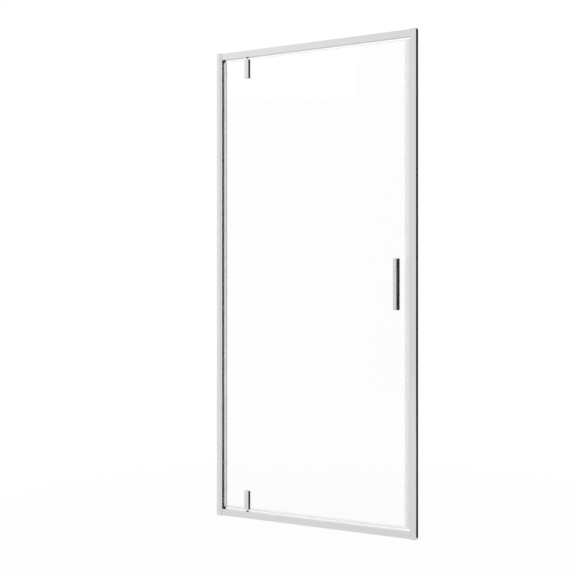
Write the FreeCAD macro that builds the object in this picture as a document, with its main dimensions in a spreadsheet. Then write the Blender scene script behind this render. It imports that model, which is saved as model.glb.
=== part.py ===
import FreeCAD, Part
import os
import Sketcher
from FreeCAD import Placement, Rotation, Vector

# A framed pivot shower door for an alcove, hinged near its left edge as seen from outside.
# Millimetres. +Z is up, +X is to the right seen from outside and -Y points out of the shower.
# The origin is on the shower tray, midway between the walls, and midway between the front of the
# handle and the covers at the back. The pieces are drawn about the middle plane of the glass, and
# place() sets each of them back to suit.

SIZES = [
    # the whole frame
    ("overall_width", 900.0, "from wall to wall"),
    ("overall_height", 1950.0, "from the tray to the top of the end caps"),
    ("cap_top", 1.2, "thickness of the top end caps"),
    ("cap_bottom", 0.6, "thickness of the bottom end caps"),
    ("cap_leg", 8.0, "how far an end cap's plug reaches into its profiles"),
    ("cap_play", 0.4, "room around an end cap's plug"),
    ("cap_round", 0.3, "rounding of the top end caps"),
    # wall profiles
    ("wall_depth", 22.0, "depth of a wall profile, front to back"),
    ("wall_gauge", 1.2, "wall thickness of a wall profile"),
    ("wall_round", 1.0, "rounding of a wall profile's outer corners"),
    ("wall_flange", 16.4, "width of a wall profile's front and back flanges"),
    ("wall_hole_radius", 2.75, "holes for the screws into the wall"),
    ("wall_hole_end", 100.0, "outer wall holes, from each end of the door"),
    # jambs, which slide in the wall profiles
    ("slide_gap", 0.15, "gap between a jamb and its wall profile, each side"),
    ("jamb_gauge", 1.5, "wall thickness of a jamb"),
    ("jamb_reach", 25.4, "from the wall to the jamb's inner face"),
    ("jamb_start", 4.4, "from the wall to the jamb's hidden edges"),
    ("jamb_round", 0.6, "rounding of a jamb's inner corners"),
    # rails
    ("rail_face", 27.6, "height of a rail's face"),
    ("rail_round", 1.5, "rounding of a rail's long edges"),
    ("rail_gauge", 1.5, "wall thickness of a rail"),
    ("port_radius", 2.8, "outside of a screw port in a rail"),
    ("port_merge", 0.4, "how far a screw port runs into the rail's walls"),
    ("rail_screw_radius", 1.5, "shank of a rail screw"),
    ("rail_screw_length", 18.0, "shank length of a rail screw"),
    ("rail_screw_head", 2.3, "head radius of a rail screw"),
    ("rail_screw_rise", 2.0, "head height of a rail screw"),
    ("screw_fit", 0.05, "room round a screw or a bush in its hole"),
    # screws that lock the jambs, and their covers
    ("lock_end", 60.0, "outer lock screws, from each end of the door"),
    ("lock_inset", 10.6, "lock screws, from the wall"),
    ("lock_radius", 1.9, "shank of a lock screw"),
    ("lock_length", 8.0, "shank length of a lock screw"),
    ("lock_head", 3.4, "head radius of a lock screw"),
    ("lock_rise", 2.0, "head height of a lock screw"),
    ("cover_radius", 4.9, "outside of a lock screw's cover"),
    ("cover_gauge", 0.8, "wall thickness of a cover"),
    ("cover_rise", 3.2, "height of a cover"),
    ("jack_drop", 50.0, "jack screw, from the top of the door"),
    ("jack_back", 5.5, "jack screw, behind the middle plane"),
    ("jack_radius", 2.5, "shank of the jack screw"),
    ("jack_head", 3.5, "head radius of the jack screw"),
    ("jack_rise", 0.3, "how far the jack screw's flat head stands proud"),
    ("jack_socket", 1.5, "radius of the jack screw's socket"),
    ("jack_socket_depth", 1.6, "depth of the jack screw's socket"),
    # corner blocks
    ("block_reach", 8.5, "corner block, along a rail"),
    ("block_drop", 8.4, "corner block, along the jamb"),
    ("block_nose", 4.0, "height of a corner block's end"),
    ("block_inset", 1.0, "corner block, behind the rail's front and in front of its back"),
    # glass
    ("glass_gauge", 6.0, "thickness of the glass"),
    ("glass_arris", 0.5, "ground edge of the glass"),
    ("top_gap", 9.3, "between the top rail and the glass"),
    ("bottom_gap", 9.0, "between the bottom rail and the glass"),
    ("hinge_side_gap", 16.0, "between the left jamb and the glass"),
    # closing side
    ("strike_reach", 6.8, "how far the closing strip stands off the right jamb"),
    ("strike_depth", 10.0, "depth of the closing strip"),
    ("magnet_gap", 0.4, "between the two closing strips"),
    ("magnet_wide", 4.8, "magnet bar, across"),
    ("magnet_thick", 3.6, "magnet bar, through"),
    ("magnet_play", 0.1, "room round a magnet bar"),
    # seals on the glass
    ("closing_body", 10.4, "closing seal, past the edge of the glass"),
    ("closing_leg", 9.0, "closing seal, on each face of the glass"),
    ("hinge_seal_body", 9.9, "hinge side seal, past the edge of the glass"),
    ("hinge_seal_leg", 4.4, "hinge side seal, on each face of the glass"),
    ("seal_wall", 1.0, "wall thickness of a seal"),
    ("fin_gauge", 0.8, "thickness of the hinge side seal's fin"),
    ("fin_gap", 0.6, "between the fin and the left jamb"),
    ("drip_drop", 2.6, "drip seal, below the glass"),
    ("drip_leg", 9.0, "drip seal, on each face of the glass"),
    ("drip_lip", 3.0, "how far the drip seal's lip hangs below its body"),
    ("drip_play", 0.3, "between the drip seal and its neighbours"),
    # pivots
    ("pivot_inset", 145.2, "pivot axis, from the left wall"),
    ("hinge_wide", 19.6, "width of a hinge block"),
    ("hinge_tall", 77.0, "height of a hinge block"),
    ("hinge_front", 6.5, "thickness of a hinge block's front plate"),
    ("hinge_back", 5.4, "thickness of a hinge block's back plate"),
    ("plate_round", 0.5, "rounding of the plates' outer edges"),
    ("gasket_gauge", 0.5, "thickness of a gasket between a plate and the glass"),
    ("spine_wide", 12.4, "width of the spine that carries the pin"),
    ("spine_tall", 28.0, "height of the spine"),
    ("notch_play", 0.3, "between the spine and the notch in the glass"),
    ("clamp_first", 42.0, "first clamp screw, from the edge of the glass"),
    ("clamp_pitch", 22.0, "between the clamp screws"),
    ("clamp_radius", 2.0, "shank of a clamp screw"),
    ("clamp_head", 3.9, "head radius of a clamp screw"),
    ("clamp_rise", 1.9, "depth of a clamp screw's sunk head"),
    ("clamp_bite", 3.0, "how far a clamp screw goes into the front plate"),
    ("clamp_sink", 0.15, "how far a clamp screw's head lies below the plate"),
    ("clamp_socket", 1.25, "radius of a clamp screw's socket"),
    ("clamp_socket_depth", 1.2, "depth of a clamp screw's socket"),
    ("sleeve_radius", 4.6, "outside of a sleeve round a clamp screw"),
    ("sleeve_play", 0.2, "between a sleeve and its hole in the glass"),
    ("pin_radius", 3.0, "pivot pin"),
    ("pin_fit", 0.05, "running fit of a pin in its bush"),
    ("pin_seat", 20.0, "how far a pin goes into its hinge block"),
    ("pin_reach", 10.4, "how far a pin goes into its rail"),
    ("pin_tip", 0.8, "chamfer on a pin's tip"),
    ("bush_radius", 4.5, "outside of a pivot bush"),
    ("bush_depth", 13.0, "how far a bush goes into its rail"),
    ("bush_flange", 6.0, "radius of a bush's flange"),
    ("bush_rise", 1.2, "thickness of a bush's flange"),
    ("bush_floor", 1.5, "thickness of a bush's closed end"),
    ("disc_gauge", 1.0, "thickness of the thrust disc"),
    ("disc_play", 0.1, "between the thrust disc and what it lies in"),
    ("carrier_length", 36.0, "pivot carrier, along the rail"),
    ("carrier_tall", 13.2, "height of a pivot carrier"),
    ("carrier_play", 0.1, "between a pivot carrier and the rail's sides"),
    ("carrier_screw_pitch", 26.0, "between a carrier's two screws"),
    ("carrier_screw_radius", 1.5, "shank of a carrier screw"),
    ("carrier_screw_head", 2.7, "head radius of a carrier screw"),
    ("carrier_screw_rise", 1.2, "depth of a carrier screw's sunk head"),
    ("carrier_screw_length", 9.0, "length of a carrier screw"),
    # handle
    ("handle_inset", 82.1, "handle's middle, from the right wall"),
    ("handle_level", 974.0, "handle's middle, above the tray"),
    ("handle_tall", 199.0, "height of the handle's grip and plates"),
    ("handle_wide", 14.6, "width of the handle"),
    ("handle_base", 5.2, "thickness of the handle's plate outside the glass"),
    ("handle_inner", 6.0, "thickness of the handle's plate inside the glass"),
    ("grip_gap", 10.5, "finger gap behind the grip"),
    ("grip_gauge", 6.5, "thickness of the grip"),
    ("post_pitch", 142.0, "between the middles of the handle's posts"),
    ("post_tall", 23.4, "height of a post"),
    ("handle_bite", 4.0, "how far a handle screw goes into the grip"),
]

doc = FreeCAD.newDocument("pivot_shower_door")
sheet = doc.addObject("Spreadsheet::Sheet", "Sizes")
for row, (alias, value, meaning) in enumerate(SIZES, start=1):
    sheet.set(f"A{row}", meaning)
    sheet.set(f"B{row}", str(value))
    sheet.setAlias(f"B{row}", alias)
doc.recompute()


class Size:
    """A length with the sheet expression that it comes from, so that sums of sizes stay bound."""

    def __init__(self, text, value):
        self.text = text
        self.value = value

    @staticmethod
    def of(other):
        return other if isinstance(other, Size) else Size(f"({float(other)})", float(other))

    def __add__(self, other):
        other = Size.of(other)
        return Size(f"({self.text} + {other.text})", self.value + other.value)

    def __sub__(self, other):
        other = Size.of(other)
        return Size(f"({self.text} - {other.text})", self.value - other.value)

    def __mul__(self, other):
        other = Size.of(other)
        return Size(f"({self.text} * {other.text})", self.value * other.value)

    def __truediv__(self, other):
        other = Size.of(other)
        return Size(f"({self.text} / {other.text})", self.value / other.value)

    def __radd__(self, other):
        return Size.of(other) + self

    def __rsub__(self, other):
        return Size.of(other) - self

    def __rmul__(self, other):
        return Size.of(other) * self

    def __neg__(self):
        return Size(f"(-{self.text})", -self.value)


def size(alias):
    return Size(f"Sizes.{alias}", float(sheet.get(alias)))


ZERO = Size.of(0.0)
LEFT, RIGHT = 1, -1  # the way from that side's wall towards the middle of the door
TOP, BOTTOM = -1, 1  # the way from that rail towards the middle of the door
FRONT, BACK = -1, 1  # out of the shower, and into it
CUT_MARGIN = 1.0  # a cutting tool starts this far outside the surface it cuts

# Places that several pieces share.
half_width = size("overall_width") / 2
jamb_depth = size("wall_depth") - 2 * size("wall_gauge") - 2 * size("slide_gap")
reveal = half_width - size("jamb_reach")
profile_bottom = size("cap_bottom")
profile_top = size("overall_height") - size("cap_top")
profile_length = profile_top - profile_bottom
rail_edge = {BOTTOM: profile_bottom + size("rail_face"), TOP: profile_top - size("rail_face")}
door_gap = {BOTTOM: size("bottom_gap"), TOP: size("top_gap")}
glass_edge = {level: rail_edge[level] + level * door_gap[level] for level in (BOTTOM, TOP)}
glass_left = -reveal + size("hinge_side_gap")
glass_right = reveal - size("strike_reach") - size("magnet_gap") - size("closing_body")
glass_face = size("glass_gauge") / 2
plate_face = glass_face + size("gasket_gauge")
pivot_x = size("pivot_inset") - half_width
handle_x = half_width - size("handle_inset")
port_inset = size("rail_gauge") + size("port_radius") - size("port_merge")
port_offset = jamb_depth / 2 - port_inset
lock_levels = [size("lock_end"), size("overall_height") / 2, size("overall_height") - size("lock_end")]
wall_hole_levels = [
    size("wall_hole_end"),
    size("overall_height") / 2,
    size("overall_height") - size("wall_hole_end"),
]
clamp_offsets = [size("clamp_first"), size("clamp_first") + size("clamp_pitch")]
post_offsets = [way * size("post_pitch") / 2 for way in (-1, 1)]
base_face = plate_face + size("handle_base")
grip_back = base_face + size("grip_gap")
front_reach = grip_back + size("grip_gauge")
back_reach = size("wall_depth") / 2 + size("cover_rise")
glass_middle = (front_reach - back_reach) / 2

parts = []


def keep(piece, node):
    """Name a finished sub-part; its name is also its file's."""
    piece.Label = node
    parts.append(piece)
    return piece


def bind(target, field, length):
    """Set a field of an object from a size, and keep it bound to the sheet."""
    target.setExpression(field, Size.of(length).text)


def place(target, x=ZERO, y=ZERO, z=ZERO, rotation=None):
    """Put an object in its place, with y counted from the middle plane of the glass."""
    target.Placement = Placement(Vector(0, 0, 0), rotation or Rotation())
    for axis, length in zip("xyz", (x, y + glass_middle, z)):
        bind(target, f"Placement.Base.{axis}", length)
    return target


# ---- sketches and the features that grow from them


def new_body(name):
    return doc.addObject("PartDesign::Body", name)


def draw(body, plane, outlines=(), circles=()):
    """A sketch on one of the body's own planes: closed outlines of straight lines, and circles."""
    sketch = body.newObject("Sketcher::SketchObject", f"{body.Name}_sketch")
    support = next(item for item in body.Origin.OriginFeatures if item.Role == plane)
    sketch.AttachmentSupport = (support, [""])
    sketch.MapMode = "FlatFace"

    def fix(kind, *where):
        *where, length = where
        index = sketch.addConstraint(Sketcher.Constraint(kind, *where, length.value))
        sketch.setExpression(f"Constraints[{index}]", length.text)

    for outline in outlines:
        points = [(Size.of(x), Size.of(y)) for x, y in outline]
        first = sketch.GeometryCount
        count = len(points)
        for index, (x, y) in enumerate(points):
            next_x, next_y = points[(index + 1) % count]
            start = Vector(x.value, y.value, 0)
            end = Vector(next_x.value, next_y.value, 0)
            sketch.addGeometry(Part.LineSegment(start, end))
        for index in range(count):
            after = (index + 1) % count
            sketch.addConstraint(Sketcher.Constraint("Coincident", first + index, 2, first + after, 1))
        for index, (x, y) in enumerate(points):
            fix("DistanceX", first + index, 1, x)
            fix("DistanceY", first + index, 1, y)
    for x, y, radius in circles:
        x, y, radius = Size.of(x), Size.of(y), Size.of(radius)
        centre = Vector(x.value, y.value, 0)
        index = sketch.addGeometry(Part.Circle(centre, Vector(0, 0, 1), radius.value))
        fix("DistanceX", index, 3, x)
        fix("DistanceY", index, 3, y)
        fix("Radius", index, radius)
    return sketch


def grow(body, kind, sketch, length, backwards=False):
    """A Pad or a Pocket of a sketch, checked by the volume that it adds or takes away."""
    before = body.Shape.Volume if body.Tip else 0.0
    feature = body.newObject(f"PartDesign::{kind}", f"{body.Name}_{kind.lower()}")
    feature.Profile = sketch
    feature.Reversed = backwards
    bind(feature, "Length", length)
    sketch.Visibility = False
    doc.recompute()
    change = body.Shape.Volume - before
    if (change <= 0) == (kind == "Pad"):
        raise ValueError(f"{feature.Name} changes nothing")
    return feature


def turn(body, sketch):
    """A full Revolution of a sketch in the XZ plane about the body's Z axis."""
    feature = body.newObject("PartDesign::Revolution", f"{body.Name}_revolution")
    feature.Profile = sketch
    axis = next(item for item in body.Origin.OriginFeatures if item.Role == "Z_Axis")
    feature.ReferenceAxis = (axis, [""])
    feature.Angle = 360.0
    sketch.Visibility = False
    doc.recompute()
    return feature


def soften(body, radius, wanted, kind="Fillet"):
    """A Fillet or Chamfer on the body's edges that the test picks."""
    base = body.Tip
    names = [f"Edge{index}" for index, edge in enumerate(base.Shape.Edges, start=1) if wanted(edge)]
    feature = body.newObject(f"PartDesign::{kind}", f"{body.Name}_{kind.lower()}")
    feature.Base = (base, names)
    bind(feature, "Radius" if kind == "Fillet" else "Size", radius)
    doc.recompute()
    return feature


def runs_along(axis, edge):
    """Does a straight edge run along this axis, 0 for X, 1 for Y or 2 for Z?"""
    if len(edge.Vertexes) != 2:
        return False
    step = edge.Vertexes[1].Point - edge.Vertexes[0].Point
    return abs(abs(step[axis]) - step.Length) < 1e-6 and abs(edge.Length - step.Length) < 1e-6


def lies_at(axis, value, edge):
    """Does the whole edge lie at one value of this coordinate?"""
    return all(abs(vertex.Point[axis] - value) < 1e-6 for vertex in edge.Vertexes)


def rectangle(x_low, x_high, y_low, y_high):
    return [(x_low, y_low), (x_high, y_low), (x_high, y_high), (x_low, y_high)]


# ---- plain solids and how they are joined and cut

ALONG = {
    "+x": Rotation(Vector(0, 1, 0), 90),
    "-x": Rotation(Vector(0, 1, 0), -90),
    "+y": Rotation(Vector(1, 0, 0), -90),
    "-y": Rotation(Vector(1, 0, 0), 90),
    "+z": Rotation(),
    "-z": Rotation(Vector(1, 0, 0), 180),
}


def rod(radius, length, x, y, z, way="+z"):
    """A cylinder that starts at a point and runs the way named."""
    solid = doc.addObject("Part::Cylinder", "rod")
    bind(solid, "Radius", radius)
    bind(solid, "Height", length)
    return place(solid, x, y, z, ALONG[way])


def taper(start_radius, end_radius, length, x, y, z, way="+z"):
    """A cone that starts at a point and runs the way named."""
    solid = doc.addObject("Part::Cone", "taper")
    bind(solid, "Radius1", start_radius)
    bind(solid, "Radius2", end_radius)
    bind(solid, "Height", length)
    return place(solid, x, y, z, ALONG[way])


def bar(x_low, x_high, y_low, y_high, z_low, z_high):
    """A block between six planes."""
    solid = doc.addObject("Part::Box", "bar")
    bind(solid, "Length", x_high - x_low)
    bind(solid, "Width", y_high - y_low)
    bind(solid, "Height", z_high - z_low)
    return place(solid, x_low, y_low, z_low)


def join(*solids):
    if len(solids) == 1:
        return solids[0]
    joined = doc.addObject("Part::MultiFuse", "joined")
    joined.Shapes = list(solids)
    return joined


def cut(base, *tools):
    result = doc.addObject("Part::Cut", "cut")
    result.Base = base
    result.Tool = join(*tools)
    return result


def group(solids):
    """Several like pieces in one node, each still a solid of its own."""
    together = doc.addObject("Part::Compound", "group")
    together.Links = solids
    return together


# ---- frame


def wall_profile(side, node):
    """The channel screwed to the wall, open towards the door."""
    body = new_body(node)
    deep, gauge, flange = size("wall_depth") / 2, size("wall_gauge"), side * size("wall_flange")
    web = side * gauge
    channel = [
        (ZERO, -deep),
        (flange, -deep),
        (flange, gauge - deep),
        (web, gauge - deep),
        (web, deep - gauge),
        (flange, deep - gauge),
        (flange, deep),
        (ZERO, deep),
    ]
    grow(body, "Pad", draw(body, "XY_Plane", [channel]), profile_length)

    def outer_corner(edge):
        return runs_along(2, edge) and any(lies_at(1, way * deep.value, edge) for way in (FRONT, BACK))

    soften(body, size("wall_round"), outer_corner)
    holes = [(ZERO, level - profile_bottom, size("wall_hole_radius")) for level in wall_hole_levels]
    grow(body, "Pocket", draw(body, "YZ_Plane", circles=holes), gauge + CUT_MARGIN, side == LEFT)
    lock_radius = size("lock_radius") + size("screw_fit")
    locks = [(side * size("lock_inset"), level - profile_bottom, lock_radius) for level in lock_levels]
    grow(body, "Pocket", draw(body, "XZ_Plane", circles=locks), deep + CUT_MARGIN)
    return keep(place(body, -side * half_width, ZERO, profile_bottom), node)


def jamb(side, node):
    """The upright that slides in its wall profile and that the rails are screwed to."""
    body = new_body(node)
    deep, gauge = jamb_depth / 2, size("jamb_gauge")
    start, face = side * size("jamb_start"), side * size("jamb_reach")
    web = side * (size("jamb_reach") - gauge)
    channel = [
        (start, -deep),
        (face, -deep),
        (face, deep),
        (start, deep),
        (start, deep - gauge),
        (web, deep - gauge),
        (web, gauge - deep),
        (start, gauge - deep),
    ]
    grow(body, "Pad", draw(body, "XY_Plane", [channel]), profile_length)
    port_radius = size("rail_screw_radius") + size("screw_fit")
    holes = [
        (way * port_offset, level, port_radius)
        for way in (FRONT, BACK)
        for level in (port_inset, profile_length - port_inset)
    ]
    if side == LEFT:
        level = profile_top - profile_bottom + size("cap_top") - size("jack_drop")
        holes.append((size("jack_back"), level, size("jack_radius") + size("screw_fit")))
    through = size("jamb_reach") + CUT_MARGIN
    grow(body, "Pocket", draw(body, "YZ_Plane", circles=holes), through, side == LEFT)
    lock_radius = size("lock_radius") + size("screw_fit")
    locks = [(side * size("lock_inset"), level - profile_bottom, lock_radius) for level in lock_levels]
    grow(body, "Pocket", draw(body, "XZ_Plane", circles=locks), deep + CUT_MARGIN)
    soften(body, size("jamb_round"), lambda edge: runs_along(2, edge) and lies_at(0, face.value, edge))
    return keep(place(body, -side * half_width, ZERO, profile_bottom), node)


def rail(level, node):
    """A hollow rail with two screw ports along its outer wall and a seat for the pivot."""
    deep, gauge = jamb_depth / 2, size("rail_gauge")
    outer = profile_bottom if level == BOTTOM else profile_top
    low = profile_bottom if level == BOTTOM else rail_edge[TOP]
    high = rail_edge[BOTTOM] if level == BOTTOM else profile_top
    skin = new_body(f"{node}_skin")
    grow(skin, "Pad", draw(skin, "YZ_Plane", [rectangle(-deep, deep, low, high)]), 2 * reveal)
    soften(skin, size("rail_round"), lambda edge: runs_along(0, edge))
    place(skin, -reveal)
    hollow = bar(
        -reveal - CUT_MARGIN, reveal + CUT_MARGIN, gauge - deep, deep - gauge, low + gauge, high - gauge
    )
    port_level = outer + level * port_inset
    ports = [
        rod(size("port_radius"), 2 * reveal, -reveal, way * port_offset, port_level, "+x")
        for way in (FRONT, BACK)
    ]
    port_holes = [
        rod(
            size("rail_screw_radius") + size("screw_fit"),
            2 * (reveal + CUT_MARGIN),
            -reveal - CUT_MARGIN,
            way * port_offset,
            port_level,
            "+x",
        )
        for way in (FRONT, BACK)
    ]
    inward = "-z" if level == BOTTOM else "+z"
    face = rail_edge[level] + level * CUT_MARGIN
    deep_cut = gauge + 2 * CUT_MARGIN
    seat = rod(size("bush_radius") + size("screw_fit"), deep_cut, pivot_x, ZERO, face, inward)
    screws = []
    for x in carrier_screw_places():
        radius = size("carrier_screw_radius") + size("screw_fit")
        screws.append(rod(radius, deep_cut, x, ZERO, face, inward))
        screws.append(sunk_hole(x, ZERO, rail_edge[level], inward, "carrier_screw", -level))
    return keep(cut(join(cut(skin, hollow), *ports), *port_holes, seat, *screws), node)


def carrier_screw_places():
    return [pivot_x + way * size("carrier_screw_pitch") / 2 for way in (-1, 1)]


def sunk_hole(x, y, z, way, screw, sign):
    """The cone that a sunk screw head leaves below a surface, opened a little above it."""
    head, shank, rise = size(f"{screw}_head"), size(f"{screw}_radius"), size(f"{screw}_rise")
    room = size("screw_fit")
    if way in ("+z", "-z"):
        z = z - sign * room
    else:
        y = y - sign * room
    return taper(head + room, shank + room, rise + room, x, y, z, way)


def rail_screws():
    """Screws through the jambs' webs into the rails' ports, heads hidden inside the jambs."""
    screws = []
    for side, way in ((LEFT, "+x"), (RIGHT, "-x")):
        seat = -side * (reveal + size("jamb_gauge"))
        head = seat - side * size("rail_screw_rise")
        for level, outer in ((BOTTOM, profile_bottom), (TOP, profile_top)):
            z = outer + level * port_inset
            for y in (FRONT * port_offset, BACK * port_offset):
                cap = rod(size("rail_screw_head"), size("rail_screw_rise"), head, y, z, way)
                length = size("rail_screw_rise") + size("rail_screw_length")
                shank = rod(size("rail_screw_radius"), length, head, y, z, way)
                screws.append(join(cap, shank))
    return keep(group(screws), "rail_screws")


def end_cap(side, level):
    """A cap over the end of one wall profile and its jamb, with a plug that holds it."""
    body = new_body("end_cap")
    deep = size("wall_depth") / 2
    thickness = size("cap_bottom") if level == BOTTOM else size("cap_top")
    plate = rectangle(ZERO, side * size("jamb_reach"), -deep, deep)
    grow(body, "Pad", draw(body, "XY_Plane", [plate]), thickness, level == BOTTOM)
    inner = size("jamb_reach") - size("jamb_gauge") - size("rail_screw_rise") - size("cap_play")
    leg_deep = jamb_depth / 2 - size("jamb_gauge") - size("cap_play")
    leg = rectangle(side * (size("jamb_start") + size("cap_play")), side * inner, -leg_deep, leg_deep)
    grow(body, "Pad", draw(body, "XY_Plane", [leg]), size("cap_leg"), level == TOP)
    if level == TOP:
        top = thickness.value
        soften(body, size("cap_round"), lambda edge: lies_at(2, top, edge))
    seat = profile_bottom if level == BOTTOM else profile_top
    return place(body, -side * half_width, ZERO, seat)


def end_caps(level, node):
    return keep(group([end_cap(LEFT, level), end_cap(RIGHT, level)]), node)


def corner_blocks():
    """Blunt wedges in the two corners on the hinge side, above and below the leaf's short end."""
    blocks = []
    reach, drop = LEFT * size("block_reach"), size("block_drop")
    deep = jamb_depth / 2 - size("block_inset")
    for level in (BOTTOM, TOP):
        body = new_body("corner_block")
        slope = reach - LEFT * (drop - size("block_nose"))
        wedge = [
            (ZERO, ZERO),
            (reach, ZERO),
            (reach, level * size("block_nose")),
            (slope, level * drop),
            (ZERO, level * drop),
        ]
        grow(body, "Pad", draw(body, "XZ_Plane", [wedge]), 2 * deep)
        blocks.append(place(body, -LEFT * reveal, deep, rail_edge[level]))
    return keep(group(blocks), "corner_blocks")


def lock_screws():
    """Screws at the back, through the wall profiles into the jambs."""
    screws = []
    back = size("wall_depth") / 2
    for side in (LEFT, RIGHT):
        x = -side * (half_width - size("lock_inset"))
        for z in lock_levels:
            y = back + size("lock_rise")
            head = rod(size("lock_head"), size("lock_rise"), x, y, z, "-y")
            shank = rod(size("lock_radius"), size("lock_rise") + size("lock_length"), x, y, z, "-y")
            screws.append(join(head, shank))
    return keep(group(screws), "jamb_lock_screws")


def lock_covers():
    """Push-on covers over the lock screws' heads."""
    covers = []
    back = size("wall_depth") / 2
    for side in (LEFT, RIGHT):
        x = -side * (half_width - size("lock_inset"))
        for z in lock_levels:
            dome = rod(size("cover_radius"), size("cover_rise"), x, back, z, "+y")
            depth = size("cover_rise") - size("cover_gauge") + CUT_MARGIN
            room = rod(size("cover_radius") - size("cover_gauge"), depth, x, back - CUT_MARGIN, z, "+y")
            covers.append(cut(dome, room))
    return keep(group(covers), "lock_screw_covers")


def jack_screw():
    """The screw in the left jamb that bears on the wall profile and sets the jamb plumb."""
    x, y = size("jack_rise") - reveal, size("jack_back")
    z = size("overall_height") - size("jack_drop")
    length = size("jamb_reach") + size("jack_rise") - size("wall_gauge")
    head = rod(size("jack_head"), size("jack_rise"), x, y, z, "-x")
    shank = rod(size("jack_radius"), length, x, y, z, "-x")
    depth = size("jack_socket_depth") + CUT_MARGIN
    socket = rod(size("jack_socket"), depth, x + CUT_MARGIN, y, z, "-x")
    return keep(cut(join(head, shank), socket), "jamb_jack_screw")


def upright_strip(body, outlines, node, x):
    """Grow a strip from its section, seen from above, as tall as the glass."""
    grow(body, "Pad", draw(body, "XY_Plane", outlines), glass_edge[TOP] - glass_edge[BOTTOM])
    return keep(place(body, x, ZERO, glass_edge[BOTTOM]), node)


def magnet_pocket(x_low, way):
    """The pocket for a magnet bar, and the bar itself, that start at x_low and run the way given."""
    play = size("magnet_play")
    wide = size("magnet_wide") / 2
    pocket = rectangle(x_low, x_low + way * (size("magnet_thick") + 2 * play), -wide - play, wide + play)
    magnet_start = x_low + way * play
    magnet = rectangle(magnet_start, magnet_start + way * size("magnet_thick"), -wide, wide)
    return pocket, magnet


def strike_strip():
    """The closing strip on the right jamb, with its magnet bar inside."""
    deep = size("strike_depth") / 2
    pocket, magnet = magnet_pocket(-size("strike_reach") + size("seal_wall"), 1)
    section = [rectangle(-size("strike_reach"), ZERO, -deep, deep), pocket]
    body = new_body("strike_strip")
    upright_strip(body, section, "strike_strip", reveal)
    face = -size("strike_reach").value
    soften(body, size("seal_wall") / 2, lambda edge: runs_along(2, edge) and lies_at(0, face, edge))
    upright_strip(new_body("strike_magnet"), [magnet], "strike_magnet", reveal)


def pivot_carrier(level, node):
    """The block inside a rail that the pivot bush sits in."""
    deep = jamb_depth / 2 - size("rail_gauge") - size("carrier_play")
    seat = rail_edge[level] - level * size("rail_gauge")
    far = seat - level * size("carrier_tall")
    low, high = (far, seat) if level == BOTTOM else (seat, far)
    half = size("carrier_length") / 2
    block = bar(pivot_x - half, pivot_x + half, -deep, deep, low, high)
    inward = "-z" if level == BOTTOM else "+z"
    start = seat + level * CUT_MARGIN
    bush_depth = size("bush_depth") - size("rail_gauge") + size("screw_fit") + CUT_MARGIN
    bore = rod(size("bush_radius") + size("screw_fit"), bush_depth, pivot_x, ZERO, start, inward)
    screw_depth = size("carrier_screw_length") - size("rail_gauge") + size("screw_fit") + CUT_MARGIN
    radius = size("carrier_screw_radius") + size("screw_fit")
    holes = [rod(radius, screw_depth, x, ZERO, start, inward) for x in carrier_screw_places()]
    return keep(cut(block, bore, *holes), node)


def carrier_screws():
    """Sunk screws from the rails' inner faces into the pivot carriers."""
    screws = []
    for level, inward in ((BOTTOM, "-z"), (TOP, "+z")):
        for x in carrier_screw_places():
            shank_radius = size("carrier_screw_radius")
            head = taper(
                size("carrier_screw_head"),
                shank_radius,
                size("carrier_screw_rise"),
                x,
                ZERO,
                rail_edge[level],
                inward,
            )
            shank = rod(shank_radius, size("carrier_screw_length"), x, ZERO, rail_edge[level], inward)
            screws.append(join(head, shank))
    return keep(group(screws), "pivot_carrier_screws")


def pivot_bush(level, node):
    """A flanged bush, closed at its far end, drawn as half its section and turned."""
    body = new_body(node)
    bore, radius = size("pin_radius") + size("pin_fit"), size("bush_radius")
    rise, flange = size("bush_rise"), size("bush_flange")
    end = -size("bush_depth")
    floor = end + size("bush_floor")
    half = [
        (bore, rise),
        (flange, rise),
        (flange, ZERO),
        (radius, ZERO),
        (radius, end),
        (ZERO, end),
        (ZERO, floor),
        (bore, floor),
    ]
    turn(body, draw(body, "XZ_Plane", [half]))
    turned = Rotation() if level == BOTTOM else Rotation(Vector(1, 0, 0), 180)
    return keep(place(body, pivot_x, ZERO, rail_edge[level], turned), node)


def thrust_disc():
    """The hard disc at the foot of the bottom bush that the door's weight stands on."""
    radius = size("pin_radius") + size("pin_fit") - size("disc_play")
    z = rail_edge[BOTTOM] - size("bush_depth") + size("bush_floor")
    return keep(rod(radius, size("disc_gauge"), pivot_x, ZERO, z), "thrust_disc")


# ---- door leaf


def door_glass():
    """The pane, notched at both ends for the hinges' spines and drilled for their screws and the handle."""
    body = new_body("door_glass")
    half = size("spine_wide") / 2 + size("notch_play")
    depth = size("spine_tall") + size("notch_play")
    low, high = glass_edge[BOTTOM], glass_edge[TOP]
    pane = [
        (glass_left, low),
        (pivot_x - half, low),
        (pivot_x - half, low + depth),
        (pivot_x + half, low + depth),
        (pivot_x + half, low),
        (glass_right, low),
        (glass_right, high),
        (pivot_x + half, high),
        (pivot_x + half, high - depth),
        (pivot_x - half, high - depth),
        (pivot_x - half, high),
        (glass_left, high),
    ]
    hole = size("sleeve_radius") + size("sleeve_play")
    holes = [
        (pivot_x, glass_edge[level] + level * offset, hole)
        for level in (BOTTOM, TOP)
        for offset in clamp_offsets
    ]
    holes += [(handle_x, size("handle_level") + offset, hole) for offset in post_offsets]
    grow(body, "Pad", draw(body, "XZ_Plane", [pane], holes), size("glass_gauge"))
    sides = [(0, glass_left.value), (0, glass_right.value), (2, low.value), (2, high.value)]

    def outer_edge(edge):
        across = runs_along(1, edge)
        return not across and any(lies_at(axis, value, edge) for axis, value in sides)

    soften(body, size("glass_arris"), outer_edge, "Chamfer")
    return keep(place(body, ZERO, glass_face, ZERO), "door_glass")


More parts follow.
